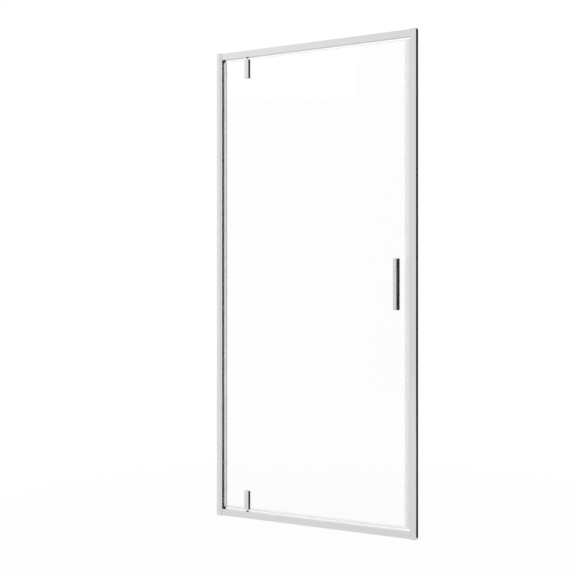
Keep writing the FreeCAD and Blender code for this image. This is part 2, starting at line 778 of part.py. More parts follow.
def hinge_front(level, node):
    """A hinge's front plate, with the spine behind it that fills the notch and holds the pin."""
    body = new_body(node)
    half, tall = size("hinge_wide") / 2, level * size("hinge_tall")
    plate = rectangle(-half, half, ZERO, tall)
    grow(body, "Pad", draw(body, "XZ_Plane", [plate]), size("hinge_front"))
    outer = -size("hinge_front").value
    soften(body, size("plate_round"), lambda edge: lies_at(1, outer, edge))
    spine_half = size("spine_wide") / 2
    spine = rectangle(-spine_half, spine_half, ZERO, level * size("spine_tall"))
    grow(body, "Pad", draw(body, "XZ_Plane", [spine]), 2 * plate_face, True)
    bore = [(ZERO, plate_face, size("pin_radius") + size("screw_fit"))]
    grow(body, "Pocket", draw(body, "XY_Plane", circles=bore), size("pin_seat"), level == BOTTOM)
    threads = [(ZERO, level * offset, size("clamp_radius") + size("screw_fit")) for offset in clamp_offsets]
    bite = size("clamp_bite") + size("screw_fit")
    grow(body, "Pocket", draw(body, "XZ_Plane", circles=threads), bite, True)
    return keep(place(body, pivot_x, -plate_face, glass_edge[level]), node)


def inner_plate(outline, gauge, x, z, screw_offsets, node):
    """A plate behind the glass, rounded at its back, with sunk holes for the clamp screws."""
    body = new_body(f"{node}_plate")
    grow(body, "Pad", draw(body, "XZ_Plane", [outline]), gauge, True)
    outer = gauge.value
    soften(body, size("plate_round"), lambda edge: lies_at(1, outer, edge))
    place(body, x, plate_face, z)
    back = plate_face + gauge
    tools = []
    for offset in screw_offsets:
        radius = size("clamp_radius") + size("screw_fit")
        tools.append(rod(radius, gauge + 2 * CUT_MARGIN, x, back + CUT_MARGIN, z + offset, "-y"))
        tools.append(sunk_hole(x, back - size("clamp_sink"), z + offset, "-y", "clamp", -1))
        wide = size("clamp_head") + size("screw_fit")
        tools.append(rod(wide, size("clamp_sink") + CUT_MARGIN, x, back + CUT_MARGIN, z + offset, "-y"))
    return keep(cut(body, *tools), node)


def gaskets(outline, x, z, screw_offsets, node):
    """The two soft sheets that keep a pair of plates off the glass, one on each face of it."""
    sheets = []
    radius = size("sleeve_radius") + size("sleeve_play")
    holes = [(ZERO, offset, radius) for offset in screw_offsets]
    for start in (-glass_face, plate_face):
        body = new_body("gasket")
        grow(body, "Pad", draw(body, "XZ_Plane", [outline], holes), size("gasket_gauge"))
        sheets.append(place(body, x, start, z))
    return keep(group(sheets), node)


def clamp_screws(places, plate, reach, node):
    """Sunk screws from the back plates, through the glass, that end this far in front of its middle."""
    screws = []
    back = plate_face + plate - size("clamp_sink")
    for x, z in places:
        head = taper(size("clamp_head"), size("clamp_radius"), size("clamp_rise"), x, back, z, "-y")
        shank = rod(size("clamp_radius"), back + reach, x, back, z, "-y")
        depth = size("clamp_socket_depth") + CUT_MARGIN
        socket = rod(size("clamp_socket"), depth, x, back + CUT_MARGIN, z, "-y")
        screws.append(cut(join(head, shank), socket))
    return keep(group(screws), node)


def sleeves(places, node):
    """Tubes round the clamp screws, where they go through the gaskets and the glass."""
    tubes = []
    bore = size("clamp_radius") + size("screw_fit")
    for x, z in places:
        tube = rod(size("sleeve_radius"), 2 * plate_face, x, plate_face, z, "-y")
        start = plate_face + CUT_MARGIN
        tubes.append(cut(tube, rod(bore, 2 * start, x, start, z, "-y")))
    return keep(group(tubes), node)


def hinge(level, word):
    """A hinge: its front plate with the spine, its back plate and the gaskets between them."""
    hinge_front(level, f"{word}_hinge_front")
    z, offsets = glass_edge[level], [level * offset for offset in clamp_offsets]
    half, tall = size("hinge_wide") / 2, level * size("hinge_tall")
    plate = rectangle(-half, half, ZERO, tall)
    inner_plate(plate, size("hinge_back"), pivot_x, z, offsets, f"{word}_hinge_back")
    gap = size("spine_wide") / 2 + size("notch_play")
    notch = level * (size("spine_tall") + size("notch_play"))
    notched = [
        (-half, ZERO),
        (-gap, ZERO),
        (-gap, notch),
        (gap, notch),
        (gap, ZERO),
        (half, ZERO),
        (half, tall),
        (-half, tall),
    ]
    gaskets(notched, pivot_x, z, offsets, f"{word}_hinge_gaskets")


def hinge_screws():
    levels = [glass_edge[level] + level * offset for level in (BOTTOM, TOP) for offset in clamp_offsets]
    places = [(pivot_x, z) for z in levels]
    clamp_screws(places, size("hinge_back"), plate_face + size("clamp_bite"), "hinge_clamp_screws")
    sleeves(places, "hinge_sleeves")


def pivot_pin(level, node):
    """A pin held in its hinge's spine that turns in the rail's bush, with chamfered ends."""
    body = new_body(node)
    radius, chamfer = size("pin_radius"), size("pin_tip")
    end = door_gap[level] + size("pin_reach")
    start = -size("pin_seat")
    half = [
        (ZERO, start),
        (radius - chamfer, start),
        (radius, start + chamfer),
        (radius, end - chamfer),
        (radius - chamfer, end),
        (ZERO, end),
    ]
    turn(body, draw(body, "XZ_Plane", [half]))
    turned = Rotation() if level == TOP else Rotation(Vector(1, 0, 0), 180)
    return keep(place(body, pivot_x, ZERO, glass_edge[level], turned), node)


def hinge_side_seal():
    """The seal on the left edge of the glass: two legs, a body and a thin fin towards the jamb."""
    body = new_body("hinge_side_seal")
    wall = size("seal_wall")
    outside, fin = glass_face + wall, size("fin_gauge") / 2
    leg, end = size("hinge_seal_leg"), -size("hinge_seal_body")
    tip = size("fin_gap") - size("hinge_side_gap")
    section = [
        (leg, -outside),
        (leg, -glass_face),
        (ZERO, -glass_face),
        (ZERO, glass_face),
        (leg, glass_face),
        (leg, outside),
        (end, outside),
        (end, fin),
        (tip, fin),
        (tip, -fin),
        (end, -fin),
        (end, -outside),
    ]
    hollow = rectangle(end + wall, -wall, -glass_face, glass_face)
    upright_strip(body, [section, hollow], "hinge_side_seal", glass_left)


def closing_seal():
    """The seal on the right edge of the glass, with its magnet bar inside."""
    wall = size("seal_wall")
    outside = glass_face + wall
    leg, end = -size("closing_leg"), size("closing_body")
    section = [
        (leg, -outside),
        (end, -outside),
        (end, outside),
        (leg, outside),
        (leg, glass_face),
        (ZERO, glass_face),
        (ZERO, -glass_face),
        (leg, -glass_face),
    ]
    pocket, magnet = magnet_pocket(end - wall, -1)
    body = new_body("closing_seal")
    upright_strip(body, [section, pocket], "closing_seal", glass_right)
    soften(body, wall / 2, lambda edge: runs_along(2, edge) and lies_at(0, end.value, edge))
    upright_strip(new_body("closing_magnet"), [magnet], "closing_magnet", glass_right)


def drip_seal(x_low, x_high, node):
    """A length of the seal under the glass: two legs, a floor and a lip that sheds water inwards."""
    body = new_body(node)
    wall = size("seal_wall")
    outside, leg, floor = glass_face + wall, size("drip_leg"), -size("drip_drop")
    lip_low, lip_out = floor - size("drip_lip"), size("drip_lip") / 2
    section = [
        (-outside, leg),
        (-outside, floor),
        (outside - wall - lip_out, floor),
        (outside - wall, lip_low),
        (outside, lip_low),
        (outside, leg),
        (glass_face, leg),
        (glass_face, ZERO),
        (-glass_face, ZERO),
        (-glass_face, leg),
    ]
    hollow = rectangle(-glass_face, glass_face, floor + wall, -wall)
    grow(body, "Pad", draw(body, "YZ_Plane", [section, hollow]), x_high - x_low)
    return keep(place(body, x_low, ZERO, glass_edge[BOTTOM]), node)


def handle_plate(gauge, bore_depth, y, node):
    """A plate as tall as the handle, rounded in front, with two screw holes from behind."""
    body = new_body(node)
    half, tall = size("handle_wide") / 2, size("handle_tall") / 2
    grow(body, "Pad", draw(body, "XZ_Plane", [rectangle(-half, half, -tall, tall)]), gauge)
    outer = -gauge.value
    soften(body, size("plate_round"), lambda edge: lies_at(1, outer, edge))
    radius = size("clamp_radius") + size("screw_fit")
    holes = [(ZERO, offset, radius) for offset in post_offsets]
    grow(body, "Pocket", draw(body, "XZ_Plane", circles=holes), bore_depth, True)
    return keep(place(body, handle_x, y, size("handle_level")), node)


def handle_posts():
    """The two blocks that hold the grip off the base, drilled through for the screws."""
    posts = []
    half, tall = size("handle_wide") / 2, size("post_tall") / 2
    for offset in post_offsets:
        z = size("handle_level") + offset
        block = bar(handle_x - half, handle_x + half, -grip_back, -base_face, z - tall, z + tall)
        length = size("grip_gap") + 2 * CUT_MARGIN
        radius = size("clamp_radius") + size("screw_fit")
        posts.append(cut(block, rod(radius, length, handle_x, CUT_MARGIN - base_face, z, "-y")))
    return keep(group(posts), "handle_posts")


def handle():
    """A flat grip on two posts, and the two plates that clamp the glass, held by two long screws."""
    handle_plate(size("grip_gauge"), size("handle_bite") + size("screw_fit"), -grip_back, "handle_grip")
    handle_posts()
    handle_plate(size("handle_base"), size("handle_base") + CUT_MARGIN, -plate_face, "handle_base")
    half, tall = size("handle_wide") / 2, size("handle_tall") / 2
    outline, z = rectangle(-half, half, -tall, tall), size("handle_level")
    inner_plate(outline, size("handle_inner"), handle_x, z, post_offsets, "handle_inner")
    gaskets(outline, handle_x, z, post_offsets, "handle_gaskets")
    places = [(handle_x, z + offset) for offset in post_offsets]
    clamp_screws(places, size("handle_inner"), grip_back + size("handle_bite"), "handle_screws")
    sleeves(places, "handle_sleeves")


# ---- the whole door

wall_profile(LEFT, "wall_profile_left")
wall_profile(RIGHT, "wall_profile_right")
jamb(LEFT, "jamb_left")
jamb(RIGHT, "jamb_right")
rail(TOP, "top_rail")
rail(BOTTOM, "bottom_rail")
rail_screws()
end_caps(TOP, "top_end_caps")
end_caps(BOTTOM, "bottom_end_caps")
corner_blocks()
lock_screws()
lock_covers()
jack_screw()
strike_strip()
for level, word in ((TOP, "top"), (BOTTOM, "bottom")):
    pivot_carrier(level, f"{word}_pivot_carrier")
    pivot_bush(level, f"{word}_pivot_bush")
    pivot_pin(level, f"{word}_pivot_pin")
    hinge(level, word)
carrier_screws()
thrust_disc()
door_glass()
hinge_screws()
hinge_side_seal()
closing_seal()
hinge_clear = size("hinge_wide") / 2 + size("drip_play")
drip_start = glass_left + size("hinge_seal_leg") + size("drip_play")
drip_end = glass_right - size("closing_leg") - size("drip_play")
drip_seal(drip_start, pivot_x - hinge_clear, "drip_seal_short")
drip_seal(pivot_x + hinge_clear, drip_end, "drip_seal_long")
handle()
doc.recompute()

faults = [item.Name for item in doc.Objects if {"Invalid", "Error"} & set(item.State)]
faults += [piece.Label for piece in parts if piece.Shape.isNull() or not piece.Shape.isValid()]
if faults:
    raise ValueError(f"these did not build: {faults}")
os.makedirs("parts", exist_ok=True)
for piece in parts:
    piece.Shape.exportStep(f"parts/{piece.Label}.step")
    print(f"{piece.Label}: {len(piece.Shape.Solids)} solids, {piece.Shape.Volume / 1000:.2f} cm3")
print(f"{len(parts)} nodes")
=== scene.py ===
# %% [markdown]
# # A pivot shower door
#
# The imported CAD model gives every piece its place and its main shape, in metres. This lesson
# dresses it: a camera and a studio first, then the finishes, then the pieces, from the frame
# inwards to the handle. Outside is -Y, right is +X and up is +Z. The origin is on the shower tray,
# midway between the walls and a little in front of the glass.

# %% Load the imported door
import math

import bmesh
import bpy
from mathutils import Matrix, Vector


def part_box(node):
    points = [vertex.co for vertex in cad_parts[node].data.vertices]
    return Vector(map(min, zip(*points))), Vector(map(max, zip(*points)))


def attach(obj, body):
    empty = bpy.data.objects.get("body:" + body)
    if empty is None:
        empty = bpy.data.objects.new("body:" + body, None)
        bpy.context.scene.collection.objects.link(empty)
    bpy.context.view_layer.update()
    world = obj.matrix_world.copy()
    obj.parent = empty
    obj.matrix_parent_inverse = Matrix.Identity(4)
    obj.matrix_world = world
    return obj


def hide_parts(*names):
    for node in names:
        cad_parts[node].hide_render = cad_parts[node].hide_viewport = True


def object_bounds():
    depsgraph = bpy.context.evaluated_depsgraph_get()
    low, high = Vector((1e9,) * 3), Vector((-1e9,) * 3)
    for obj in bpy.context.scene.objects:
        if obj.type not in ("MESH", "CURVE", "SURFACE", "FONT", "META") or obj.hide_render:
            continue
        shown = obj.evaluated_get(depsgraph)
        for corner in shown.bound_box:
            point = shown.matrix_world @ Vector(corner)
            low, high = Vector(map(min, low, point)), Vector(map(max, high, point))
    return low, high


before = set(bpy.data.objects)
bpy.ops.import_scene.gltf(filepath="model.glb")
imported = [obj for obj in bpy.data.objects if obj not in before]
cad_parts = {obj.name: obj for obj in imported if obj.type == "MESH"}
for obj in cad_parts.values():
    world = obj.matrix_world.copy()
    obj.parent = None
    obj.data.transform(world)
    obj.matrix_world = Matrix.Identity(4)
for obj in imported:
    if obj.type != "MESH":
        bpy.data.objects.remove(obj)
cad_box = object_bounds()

MM = 0.001  # drawings are in millimetres, Blender is in metres
low, high = cad_box
pane_low, pane_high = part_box("door_glass")
glass_y = (pane_low.y + pane_high.y) / 2  # the middle plane of the glass
whole_mm = [round(side / MM) for side in high - low]
print("the door is", whole_mm, "mm in", len(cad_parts), "CAD nodes")

# %% [markdown]
# ## The camera
#
# The photographer stood outside, to the right of the door and level with its middle, so the
# uprights stay parallel in the picture and only the rails run together. The lens follows from how
# fast they do: the frame's right edge is 1.11 times as tall as its left one. A lens is set in
# millimetres on a 36 mm sensor, so a focal length in pixels is scaled by the picture's width.

# %% Stand the camera where the photographer stood
PICTURE = 576  # pixels on each side
FOCAL = 1012.3  # pixels
HORIZON_DROP = -0.25  # pixels from the middle of the picture to the horizon
TO_THE_RIGHT, OUT, UP = 1.877, 3.621, 0.959  # metres from the middle line, the glass and the tray
LEVEL, LEFTWARDS = math.radians(90), math.radians(28.78)  # which way the lens points

lens = bpy.data.cameras.new("camera")
lens.sensor_width = 36.0
lens.lens = FOCAL * lens.sensor_width / PICTURE
lens.shift_y = -HORIZON_DROP / PICTURE
camera = bpy.data.objects.new("camera", lens)
camera.location = (TO_THE_RIGHT, glass_y - OUT, UP)
camera.rotation_euler = (LEVEL, 0, LEFTWARDS)
bpy.context.scene.collection.objects.link(camera)
bpy.context.scene.camera = camera
bpy.context.scene.view_settings.view_transform = "Standard"
print(f"a {lens.lens:.1f} mm lens, {camera.location.length:.2f} m from the origin")

# %% [markdown]
# ## Sums on sockets
#
# A shader is a picture of sums, and sums are easier to read as Python. `Wire` holds one output
# socket, and adding or multiplying wires adds the Math nodes. `Tree` holds the nodes, and its one
# method `node` makes any node: its kind, its settings, then the values or wires of its inputs.
# Geometry Nodes trees use the same two classes. `blank` starts a material, and `grey_of` writes an
# even grey.


# %% Two small classes for node trees
class Wire:
    """One output socket, which takes part in sums."""

    def __init__(self, tree, socket):
        self.tree = tree
        self.socket = socket

    def sum(self, operation, first, second):
        return self.tree.node("ShaderNodeMath", {"operation": operation}, {0: first, 1: second})

    def __add__(self, other):
        return self.sum("ADD", self, other)

    def __radd__(self, other):
        return self.sum("ADD", other, self)

    def __sub__(self, other):
        return self.sum("SUBTRACT", self, other)

    def __rsub__(self, other):
        return self.sum("SUBTRACT", other, self)

    def __mul__(self, other):
        return self.sum("MULTIPLY", self, other)

    def either(self, other):
        return self.sum("MAXIMUM", self, other)

    def held(self):
        """The same value, held between 0 and 1."""
        return self.tree.node("ShaderNodeClamp", {}, {"Value": self})

    def between(self, start, end):
        """0 where the value is at start, 1 at end, and smooth in between."""
        limits = {"Value": self, "From Min": start, "From Max": end}
        return self.tree.node("ShaderNodeMapRange", {"interpolation_type": "SMOOTHSTEP"}, limits)

    def mix(self, first, second):
        """The first colour where this wire is 0, the second where it is 1."""
        inputs = {0: self, 6: first, 7: second}  # a Mix node keeps its colours at 6 and 7
        return self.tree.node("ShaderNodeMix", {"data_type": "RGBA"}, inputs, output=2)

    def stretched(self, *scale):
        """This vector, each axis times its own number."""
        inputs = {0: self, 1: scale}
        return self.tree.node("ShaderNodeVectorMath", {"operation": "MULTIPLY"}, inputs)

    def parts(self, axes):
        """This vector's parts along the named axes."""
        inputs = {"Vector": self}
        return [self.tree.node("ShaderNodeSeparateXYZ", {}, inputs, axis) for axis in axes]


class Tree:
    """A node tree, and one method that adds any node to it."""

    def __init__(self, tree):
        self.tree = tree

    def node(self, kind, settings, inputs, output=0):
        made = self.tree.nodes.new(kind)
        for name, value in settings.items():
            setattr(made, name, value)
        for key, value in inputs.items():
            if isinstance(value, Wire):
                self.tree.links.new(value.socket, made.inputs[key])
            else:
                made.inputs[key].default_value = value
        return Wire(self, made.outputs[output]) if made.outputs else None


def blank(name):
    """A new material without nodes, and its tree."""
    material = bpy.data.materials.new(name)
    material.use_nodes = True
    material.node_tree.nodes.clear()
    return material, Tree(material.node_tree)


def grey_of(value):
    """An even grey, as Blender's sockets take a colour."""
    return (value, value, value, 1)


WHITE = grey_of(1)

# %% [markdown]
# ## The studio
#
# Product photographs of polished metal are lit by their surroundings more than by lamps: white
# walls all round, and a black card on the one side where the metal should turn dark. Camera, mirror
# and glass rays see the world at strength 1, which is white. Matt surfaces are lit mostly by the
# world, at a little under that strength, and one large soft lamp gives the rest, so a colour
# renders about as it is written.

# %% White surroundings
WORLD_LIGHT = 0.8  # how strongly the world lights matt surfaces; the lamp gives the rest

world = bpy.data.worlds.new("studio")
world.use_nodes = True
world.node_tree.nodes.clear()
bpy.context.scene.world = world
sky = Tree(world.node_tree)


def seen_directly(tree, mirrored=1.0):
    """1 for rays that reach the eye straight or through glass. Mirrored ones may count for less."""
    straight = tree.node("ShaderNodeLightPath", {}, {}, "Is Camera Ray")
    through = tree.node("ShaderNodeLightPath", {}, {}, "Is Transmission Ray")
    reflected = tree.node("ShaderNodeLightPath", {}, {}, "Is Glossy Ray")
    return straight.either(through).either(reflected * mirrored)


brightness = WORLD_LIGHT + seen_directly(sky) * (1 - WORLD_LIGHT)
surroundings = sky.node("ShaderNodeBackground", {}, {"Color": WHITE, "Strength": brightness})
sky.node("ShaderNodeOutputWorld", {}, {"Surface": surroundings})
world.cycles.sampling_method = "NONE"  # only rays find the white, so a card can stand before it
print("the world is white, and gives", WORLD_LIGHT, "of the light on matt surfaces")

# %% [markdown]
# A lamp is an area light: the larger it is, the softer its shadows. This one hangs outside, high on
# the left.
#
# Dark things stand round the door, as in a photographer's studio: a black card behind it on the
# right, one on the right, a black cloth on the floor between them, and a grey card behind it on the
# left. The metal's right-hand sides mirror the black and the undersides the grey, which gives the
# frame its depth. A roll of paper in front fades from white to a pale grey, and dims the frame's
# front faces towards the right. Only a ray that has been mirrored sees any of them. A ray that
# comes straight, or through glass, counts no mirrors on its way, so for it they are clear, and the
# white floor shows through. They throw no shadow and take no light.


# %% One soft lamp, cards, a cloth and a roll of paper
DOOR_MIDDLE = (0, 0, 0.975)
LAMP_PLACE = (-2.6, -3.4, 3.4)
LAMP_WIDTH, LAMP_HEIGHT = 2.4, 1.8
LAMP_POWER = 30  # watts
WEAVE = 3.0  # waves across a cloth
FADE_ACROSS = (-2.3, 0.3)  # metres to the right of the roll's middle: fading starts, and is full
FADE_UP = (-2.0, 0.9)  # metres above it: fading is strongest, and weakest
FADE_LOST = 0.35  # how much weaker
FLOOR_CLOTH = [(-0.6, 0.022), (0.62, 0.022), (1.85, 2.0), (0.15, 2.0)]  # wider as it goes in


def stood(name, data, place, target):
    """A lamp or a card at a place, with its front turned towards a target."""
    made = bpy.data.objects.new(name, data)
    made.location = place
    made.rotation_euler = (Vector(target) - Vector(place)).to_track_quat("-Z", "Y").to_euler()
    bpy.context.scene.collection.objects.link(made)
    return made


def oblong(width, height):
    """The corners of a sheet about its middle."""
    return [(x * width / 2, y * height / 2) for x, y in ((-1, -1), (1, -1), (1, 1), (-1, 1))]


def sheet_mesh(name, corners):
    """A flat mesh with four corners."""
    mesh = bpy.data.meshes.new(name)
    mesh.from_pydata([(x, y, 0) for x, y in corners], [], [(0, 1, 2, 3)])
    return mesh


softbox = bpy.data.lights.new("softbox", "AREA")
softbox.shape = "RECTANGLE"
softbox.size, softbox.size_y = LAMP_WIDTH, LAMP_HEIGHT
softbox.energy = LAMP_POWER
lamp = stood("softbox", softbox, LAMP_PLACE, DOOR_MIDDLE)
lamp.visible_glossy = False


def woven(fabric):
    """Slow clouds, since no cloth is quite even."""
    return fabric.node("ShaderNodeTexNoise", {}, {"Scale": WEAVE}, "Fac")


def fading(fabric):
    """0 at the left end of a roll of paper, and towards 1 at its middle, most of all low down."""
    across, up = fabric.node("ShaderNodeTexCoord", {}, {}, "Object").parts("XY")
    return across.between(*FADE_ACROSS) * (1 - up.between(*FADE_UP) * FADE_LOST)


def seen_in_mirrors(name, pattern, first, second):
    """A cloth that only mirrored rays see, in a pattern between two shades of grey."""
    material, fabric = blank(name)
    mirrors = fabric.node("ShaderNodeLightPath", {}, {}, "Glossy Depth")
    clear = fabric.node("ShaderNodeBsdfTransparent", {}, {})
    colour = pattern(fabric).mix(grey_of(first), grey_of(second))
    shade = fabric.node("ShaderNodeEmission", {}, {"Color": colour})
    surface = fabric.node("ShaderNodeMixShader", {}, {0: mirrors.held(), 1: clear, 2: shade})
    fabric.node("ShaderNodeOutputMaterial", {}, {"Surface": surface})
    material.cycles.emission_sampling = "NONE"
    return material


black = seen_in_mirrors("black_cloth", woven, 0.004, 0.012)
grey = seen_in_mirrors("grey_cloth", woven, 0.66, 0.72)
paper = seen_in_mirrors("fading_paper", fading, 1.0, 0.84)
CLOTHS = [  # name, corners, place, where its front looks, material
    ("card_behind", oblong(1.7, 4.6), (1.0, 2.0, 2.3), (1.0, 0, 2.3), black),
    ("card_right", oblong(6.0, 4.6), (3.2, -1.0, 2.3), (0, -1.0, 2.3), black),
    ("cloth_on_floor", FLOOR_CLOTH, (0, 0, 2 * MM), (0, 0, -1), black),
    ("card_left", oblong(3.0, 3.6), (-1.5, 2.0, 2.7), (-1.5, 0, 2.7), grey),
    ("roll_in_front", oblong(4.8, 4.6), (-1.4, -5.0, 2.3), (-1.4, 0, 2.3), paper),
]
for name, corners, place, target, material in CLOTHS:
    cloth = stood(name, sheet_mesh(name, corners), place, target)
    cloth.data.materials.append(material)
    cloth.visible_diffuse = cloth.visible_shadow = False
print("lamp", [round(x, 2) for x in lamp.location], "and", len(CLOTHS), "cloths")

# %% [markdown]
# The floor is pale and matt under the door, where it keeps the door's faint shadow, and turns to
# plain white further out, so no horizon shows. Near the door it is mostly white to the eye too,
# because the photograph's ground is. In the metal's mirror it is greyer, and a little more so in
# front of the door's right-hand side.

# %% A pale floor
FLOOR_REACH = 9.0
FLOOR_WHITE = 0.96  # share of plain white that the eye sees under the door
FLOOR_FADE = (0.7, 2.2)  # metres from the origin: matt within, plain white beyond
IN_MIRRORS = 0.75  # share of plain white that the metal mirrors
DIMMED = 0.09  # how much less that is in front of the right-hand side
DIM_ACROSS = (0.05, 0.4)  # metres to the right: dimming starts, and is full
DIM_SLANT = 0.4  # how far both move to the left for each metre outwards

floor_paint, ground = blank("studio_floor")
spot = ground.node("ShaderNodeTexCoord", {}, {}, "Object")
mottle = ground.node("ShaderNodeTexNoise", {}, {"Vector": spot, "Scale": 6.0, "Detail": 4.0}, "Fac")
distance = ground.node("ShaderNodeVectorMath", {"operation": "LENGTH"}, {0: spot}, "Value")
far = distance.between(*FLOOR_FADE)
matt_colour = mottle.mix(grey_of(0.85), grey_of(0.88))
matt = ground.node("ShaderNodeBsdfDiffuse", {}, {"Color": matt_colour})
white = ground.node("ShaderNodeEmission", {}, {"Color": WHITE, "Strength": 1.0})
across, inwards = spot.parts("XY")
on_the_right = (across - inwards * DIM_SLANT).between(*DIM_ACROSS)
mirrored = IN_MIRRORS - on_the_right * DIMMED
whiteness = seen_directly(ground, mirrored) * (FLOOR_WHITE + far * (1 - FLOOR_WHITE))
surface = ground.node("ShaderNodeMixShader", {}, {0: whiteness, 1: matt, 2: white})
ground.node("ShaderNodeOutputMaterial", {}, {"Surface": surface})
floor_paint.cycles.emission_sampling = "NONE"

FLOOR_SINK = 0.2 * MM  # just under the door's feet
floor = bpy.data.objects.new("floor", sheet_mesh("floor", oblong(2 * FLOOR_REACH, 2 * FLOOR_REACH)))
floor.data.transform(Matrix.Translation((0, 0, -FLOOR_SINK)))
floor.data.materials.append(floor_paint)
bpy.context.scene.collection.objects.link(floor)
print("floor", 2 * FLOOR_REACH, "m across")

# %% [markdown]
# ## Finishes
#
# Every finish is a Principled shader, with patterns that read Object coordinates in metres, so that
# the same grain runs over every piece at its real size. `paint` makes the material, hands its tree
# to a function that builds the patterns, and joins what that returns to the shader. What is the
# same all over is set on the shader's own socket.

# %% Start a finish
PLAIN, FINE = 2.0, 5.0  # octaves of noise
RIM = (0.02, 0.3)  # how far a normal is turned: a rim starts, and is full
finishes = {}


def paint(name, recipe, **constant):
    """A material whose Principled inputs come from recipe(tree, place) and from constants."""
    material, tree = blank(name)
    place = tree.node("ShaderNodeTexCoord", {}, {}, "Object")
    inputs = {**constant, **recipe(tree, place)}
    shader = tree.node("ShaderNodeBsdfPrincipled", {}, inputs)
    tree.node("ShaderNodeOutputMaterial", {}, {"Surface": shader})
    finishes[name] = material
    print("finish", name, "with", len(material.node_tree.nodes), "nodes")


def noise(tree, place, scale, octaves=PLAIN):
    """A value from 0 to 1 that wanders, with a scale in waves per metre."""
    inputs = {"Vector": place, "Scale": scale, "Detail": octaves}
    return tree.node("ShaderNodeTexNoise", {}, inputs, "Fac")


def bumped(tree, height, depth):
    """A normal from a height of 0 to 1, which stands for a depth in metres."""
    inputs = {"Strength": 1.0, "Distance": depth, "Height": height}
    return tree.node("ShaderNodeBump", {}, inputs)


def edges(tree, radius):
    """1 on rims, where hands rub, and 0 on flat faces. Rounding turns a rim's normal."""
    rounded = tree.node("ShaderNodeBevel", {"samples": 4}, {"Radius": radius})
    true = tree.node("ShaderNodeNewGeometry", {}, {}, "Normal")
    compare = {"operation": "DOT_PRODUCT"}
    alike = tree.node("ShaderNodeVectorMath", compare, {0: rounded, 1: true}, "Value")
    return (1 - alike).between(*RIM)


# %% [markdown]
# ### Bright aluminium
#
# The frame's bars are pressed through a die, which leaves faint lines along them, then polished and
# anodised. The lines are noise that is squeezed to under a millimetre across the bar and stretched
# to metres along it, so there is one finish for bars that run up and one for bars that run across.
# They vary the roughness far more than the colour. Slow clouds stand for the anodising bath, and
# edges are rubbed a little brighter.

# %% Bright aluminium, one finish for each way the bars run
LINES_ACROSS, LINES_ALONG = 1300.0, 1.5  # waves per metre
BAND_ACROSS = 160.0


def drawn_aluminium(along):
    """Drawn lines along one axis, 0 for X and 2 for Z."""

    def recipe(tree, place):
        fine = [LINES_ALONG if axis == along else LINES_ACROSS for axis in range(3)]
        broad = [LINES_ALONG / 2 if axis == along else BAND_ACROSS for axis in range(3)]
        lines = noise(tree, place.stretched(*fine), 1.0, FINE)
        bands = noise(tree, place.stretched(*broad), 1.0)
        clouds = noise(tree, place, 5.0, FINE)
        rubbed = edges(tree, 0.5 * MM)
        tone = (lines * 0.35 + bands * 0.35 + clouds * 0.3).between(0.3, 0.7)
        clean = tone.mix((0.735, 0.738, 0.742, 1), (0.775, 0.777, 0.78, 1))
        rough = 0.07 + lines * 0.08 + bands * 0.05 + clouds * 0.04 - rubbed * 0.02
        return {
            "Base Color": rubbed.mix(clean, grey_of(0.82)),
            "Roughness": rough,
            "Normal": bumped(tree, lines, 0.004 * MM),
        }

    return recipe


paint("aluminium_across", drawn_aluminium(along=0), Metallic=1.0)
paint("aluminium_upright", drawn_aluminium(along=2), Metallic=1.0)

# %% [markdown]
# ### Chrome plate
#
# The hinges and the handle are plated brass: nearly a mirror, with the softest waviness from
# polishing, faint smudges where hands hold it, and fine hairlines that only show in a highlight.
# The handle's base and posts mirror little but the grip's dark back, so their plate is a darker
# one: painted shade for the gap behind the grip.


# %% Chrome for the hinges and the handle
def chrome(clean, smudged, worn):
    """Plate that mirrors these shares of the light where it is clean, smudged and worn."""

    def recipe(tree, place):
        smudge = noise(tree, place, 38.0, FINE).between(0.5, 0.75)
        hairlines = noise(tree, place.stretched(500, 500, 60), 1.0, FINE)
        wave = noise(tree, place, 60.0)
        rubbed = edges(tree, 0.4 * MM)
        tone = smudge.mix((clean, clean, clean * 1.01, 1), grey_of(smudged))
        return {
            "Base Color": rubbed.mix(tone, grey_of(worn)),
            "Roughness": 0.04 + smudge * 0.09 + hairlines * 0.03,
            "Normal": bumped(tree, wave * 0.7 + hairlines * 0.3, 0.01 * MM),
        }

    return recipe


paint("chrome_plate", chrome(clean=0.745, smudged=0.70, worn=0.80), Metallic=1.0)
# a darker copy of the plate: painted shade for the handle's base and posts behind the grip
paint("chrome_shaded", chrome(clean=0.30, smudged=0.27, worn=0.36), Metallic=1.0)


# %% [markdown]
# ### Stainless steel and cast zinc
#
# Screws and pins are tumbled after turning, which leaves a fine even grain, while the pivot
# carriers inside the rails are cast and never seen once the door is up: dull, grainy and a little
# blotchy.


# %% Steel for screws and pins, zinc for the hidden blocks
def steel(tree, place):
    grain = noise(tree, place, 900.0, FINE)
    stain = noise(tree, place, 120.0, FINE).between(0.45, 0.7)
    rubbed = edges(tree, 0.2 * MM)
    tone = stain.mix((0.56, 0.56, 0.565, 1), (0.47, 0.465, 0.46, 1))
    return {
        "Base Color": rubbed.mix(tone, grey_of(0.66)),
        "Roughness": 0.2 + grain * 0.14 + stain * 0.08,
        "Normal": bumped(tree, grain, 0.006 * MM),
    }


def zinc(tree, place):
    grain = noise(tree, place, 900.0, FINE)
    blotch = noise(tree, place, 60.0, FINE)
    return {
        "Base Color": blotch.mix((0.33, 0.335, 0.35, 1), (0.46, 0.465, 0.475, 1)),
        "Roughness": 0.42 + grain * 0.25,
        "Normal": bumped(tree, grain, 0.05 * MM),
    }


paint("stainless_steel", steel, Metallic=1.0)
paint("cast_zinc", zinc, Metallic=1.0)


# %% [markdown]
# ### Glass
#
# Toughened glass, 6 mm thick, nearly colourless. Real panes have a slow roller wave from the
# furnace and, low down, the ghosts of dried drops. Both are kept so faint that they only break up a
# reflection.


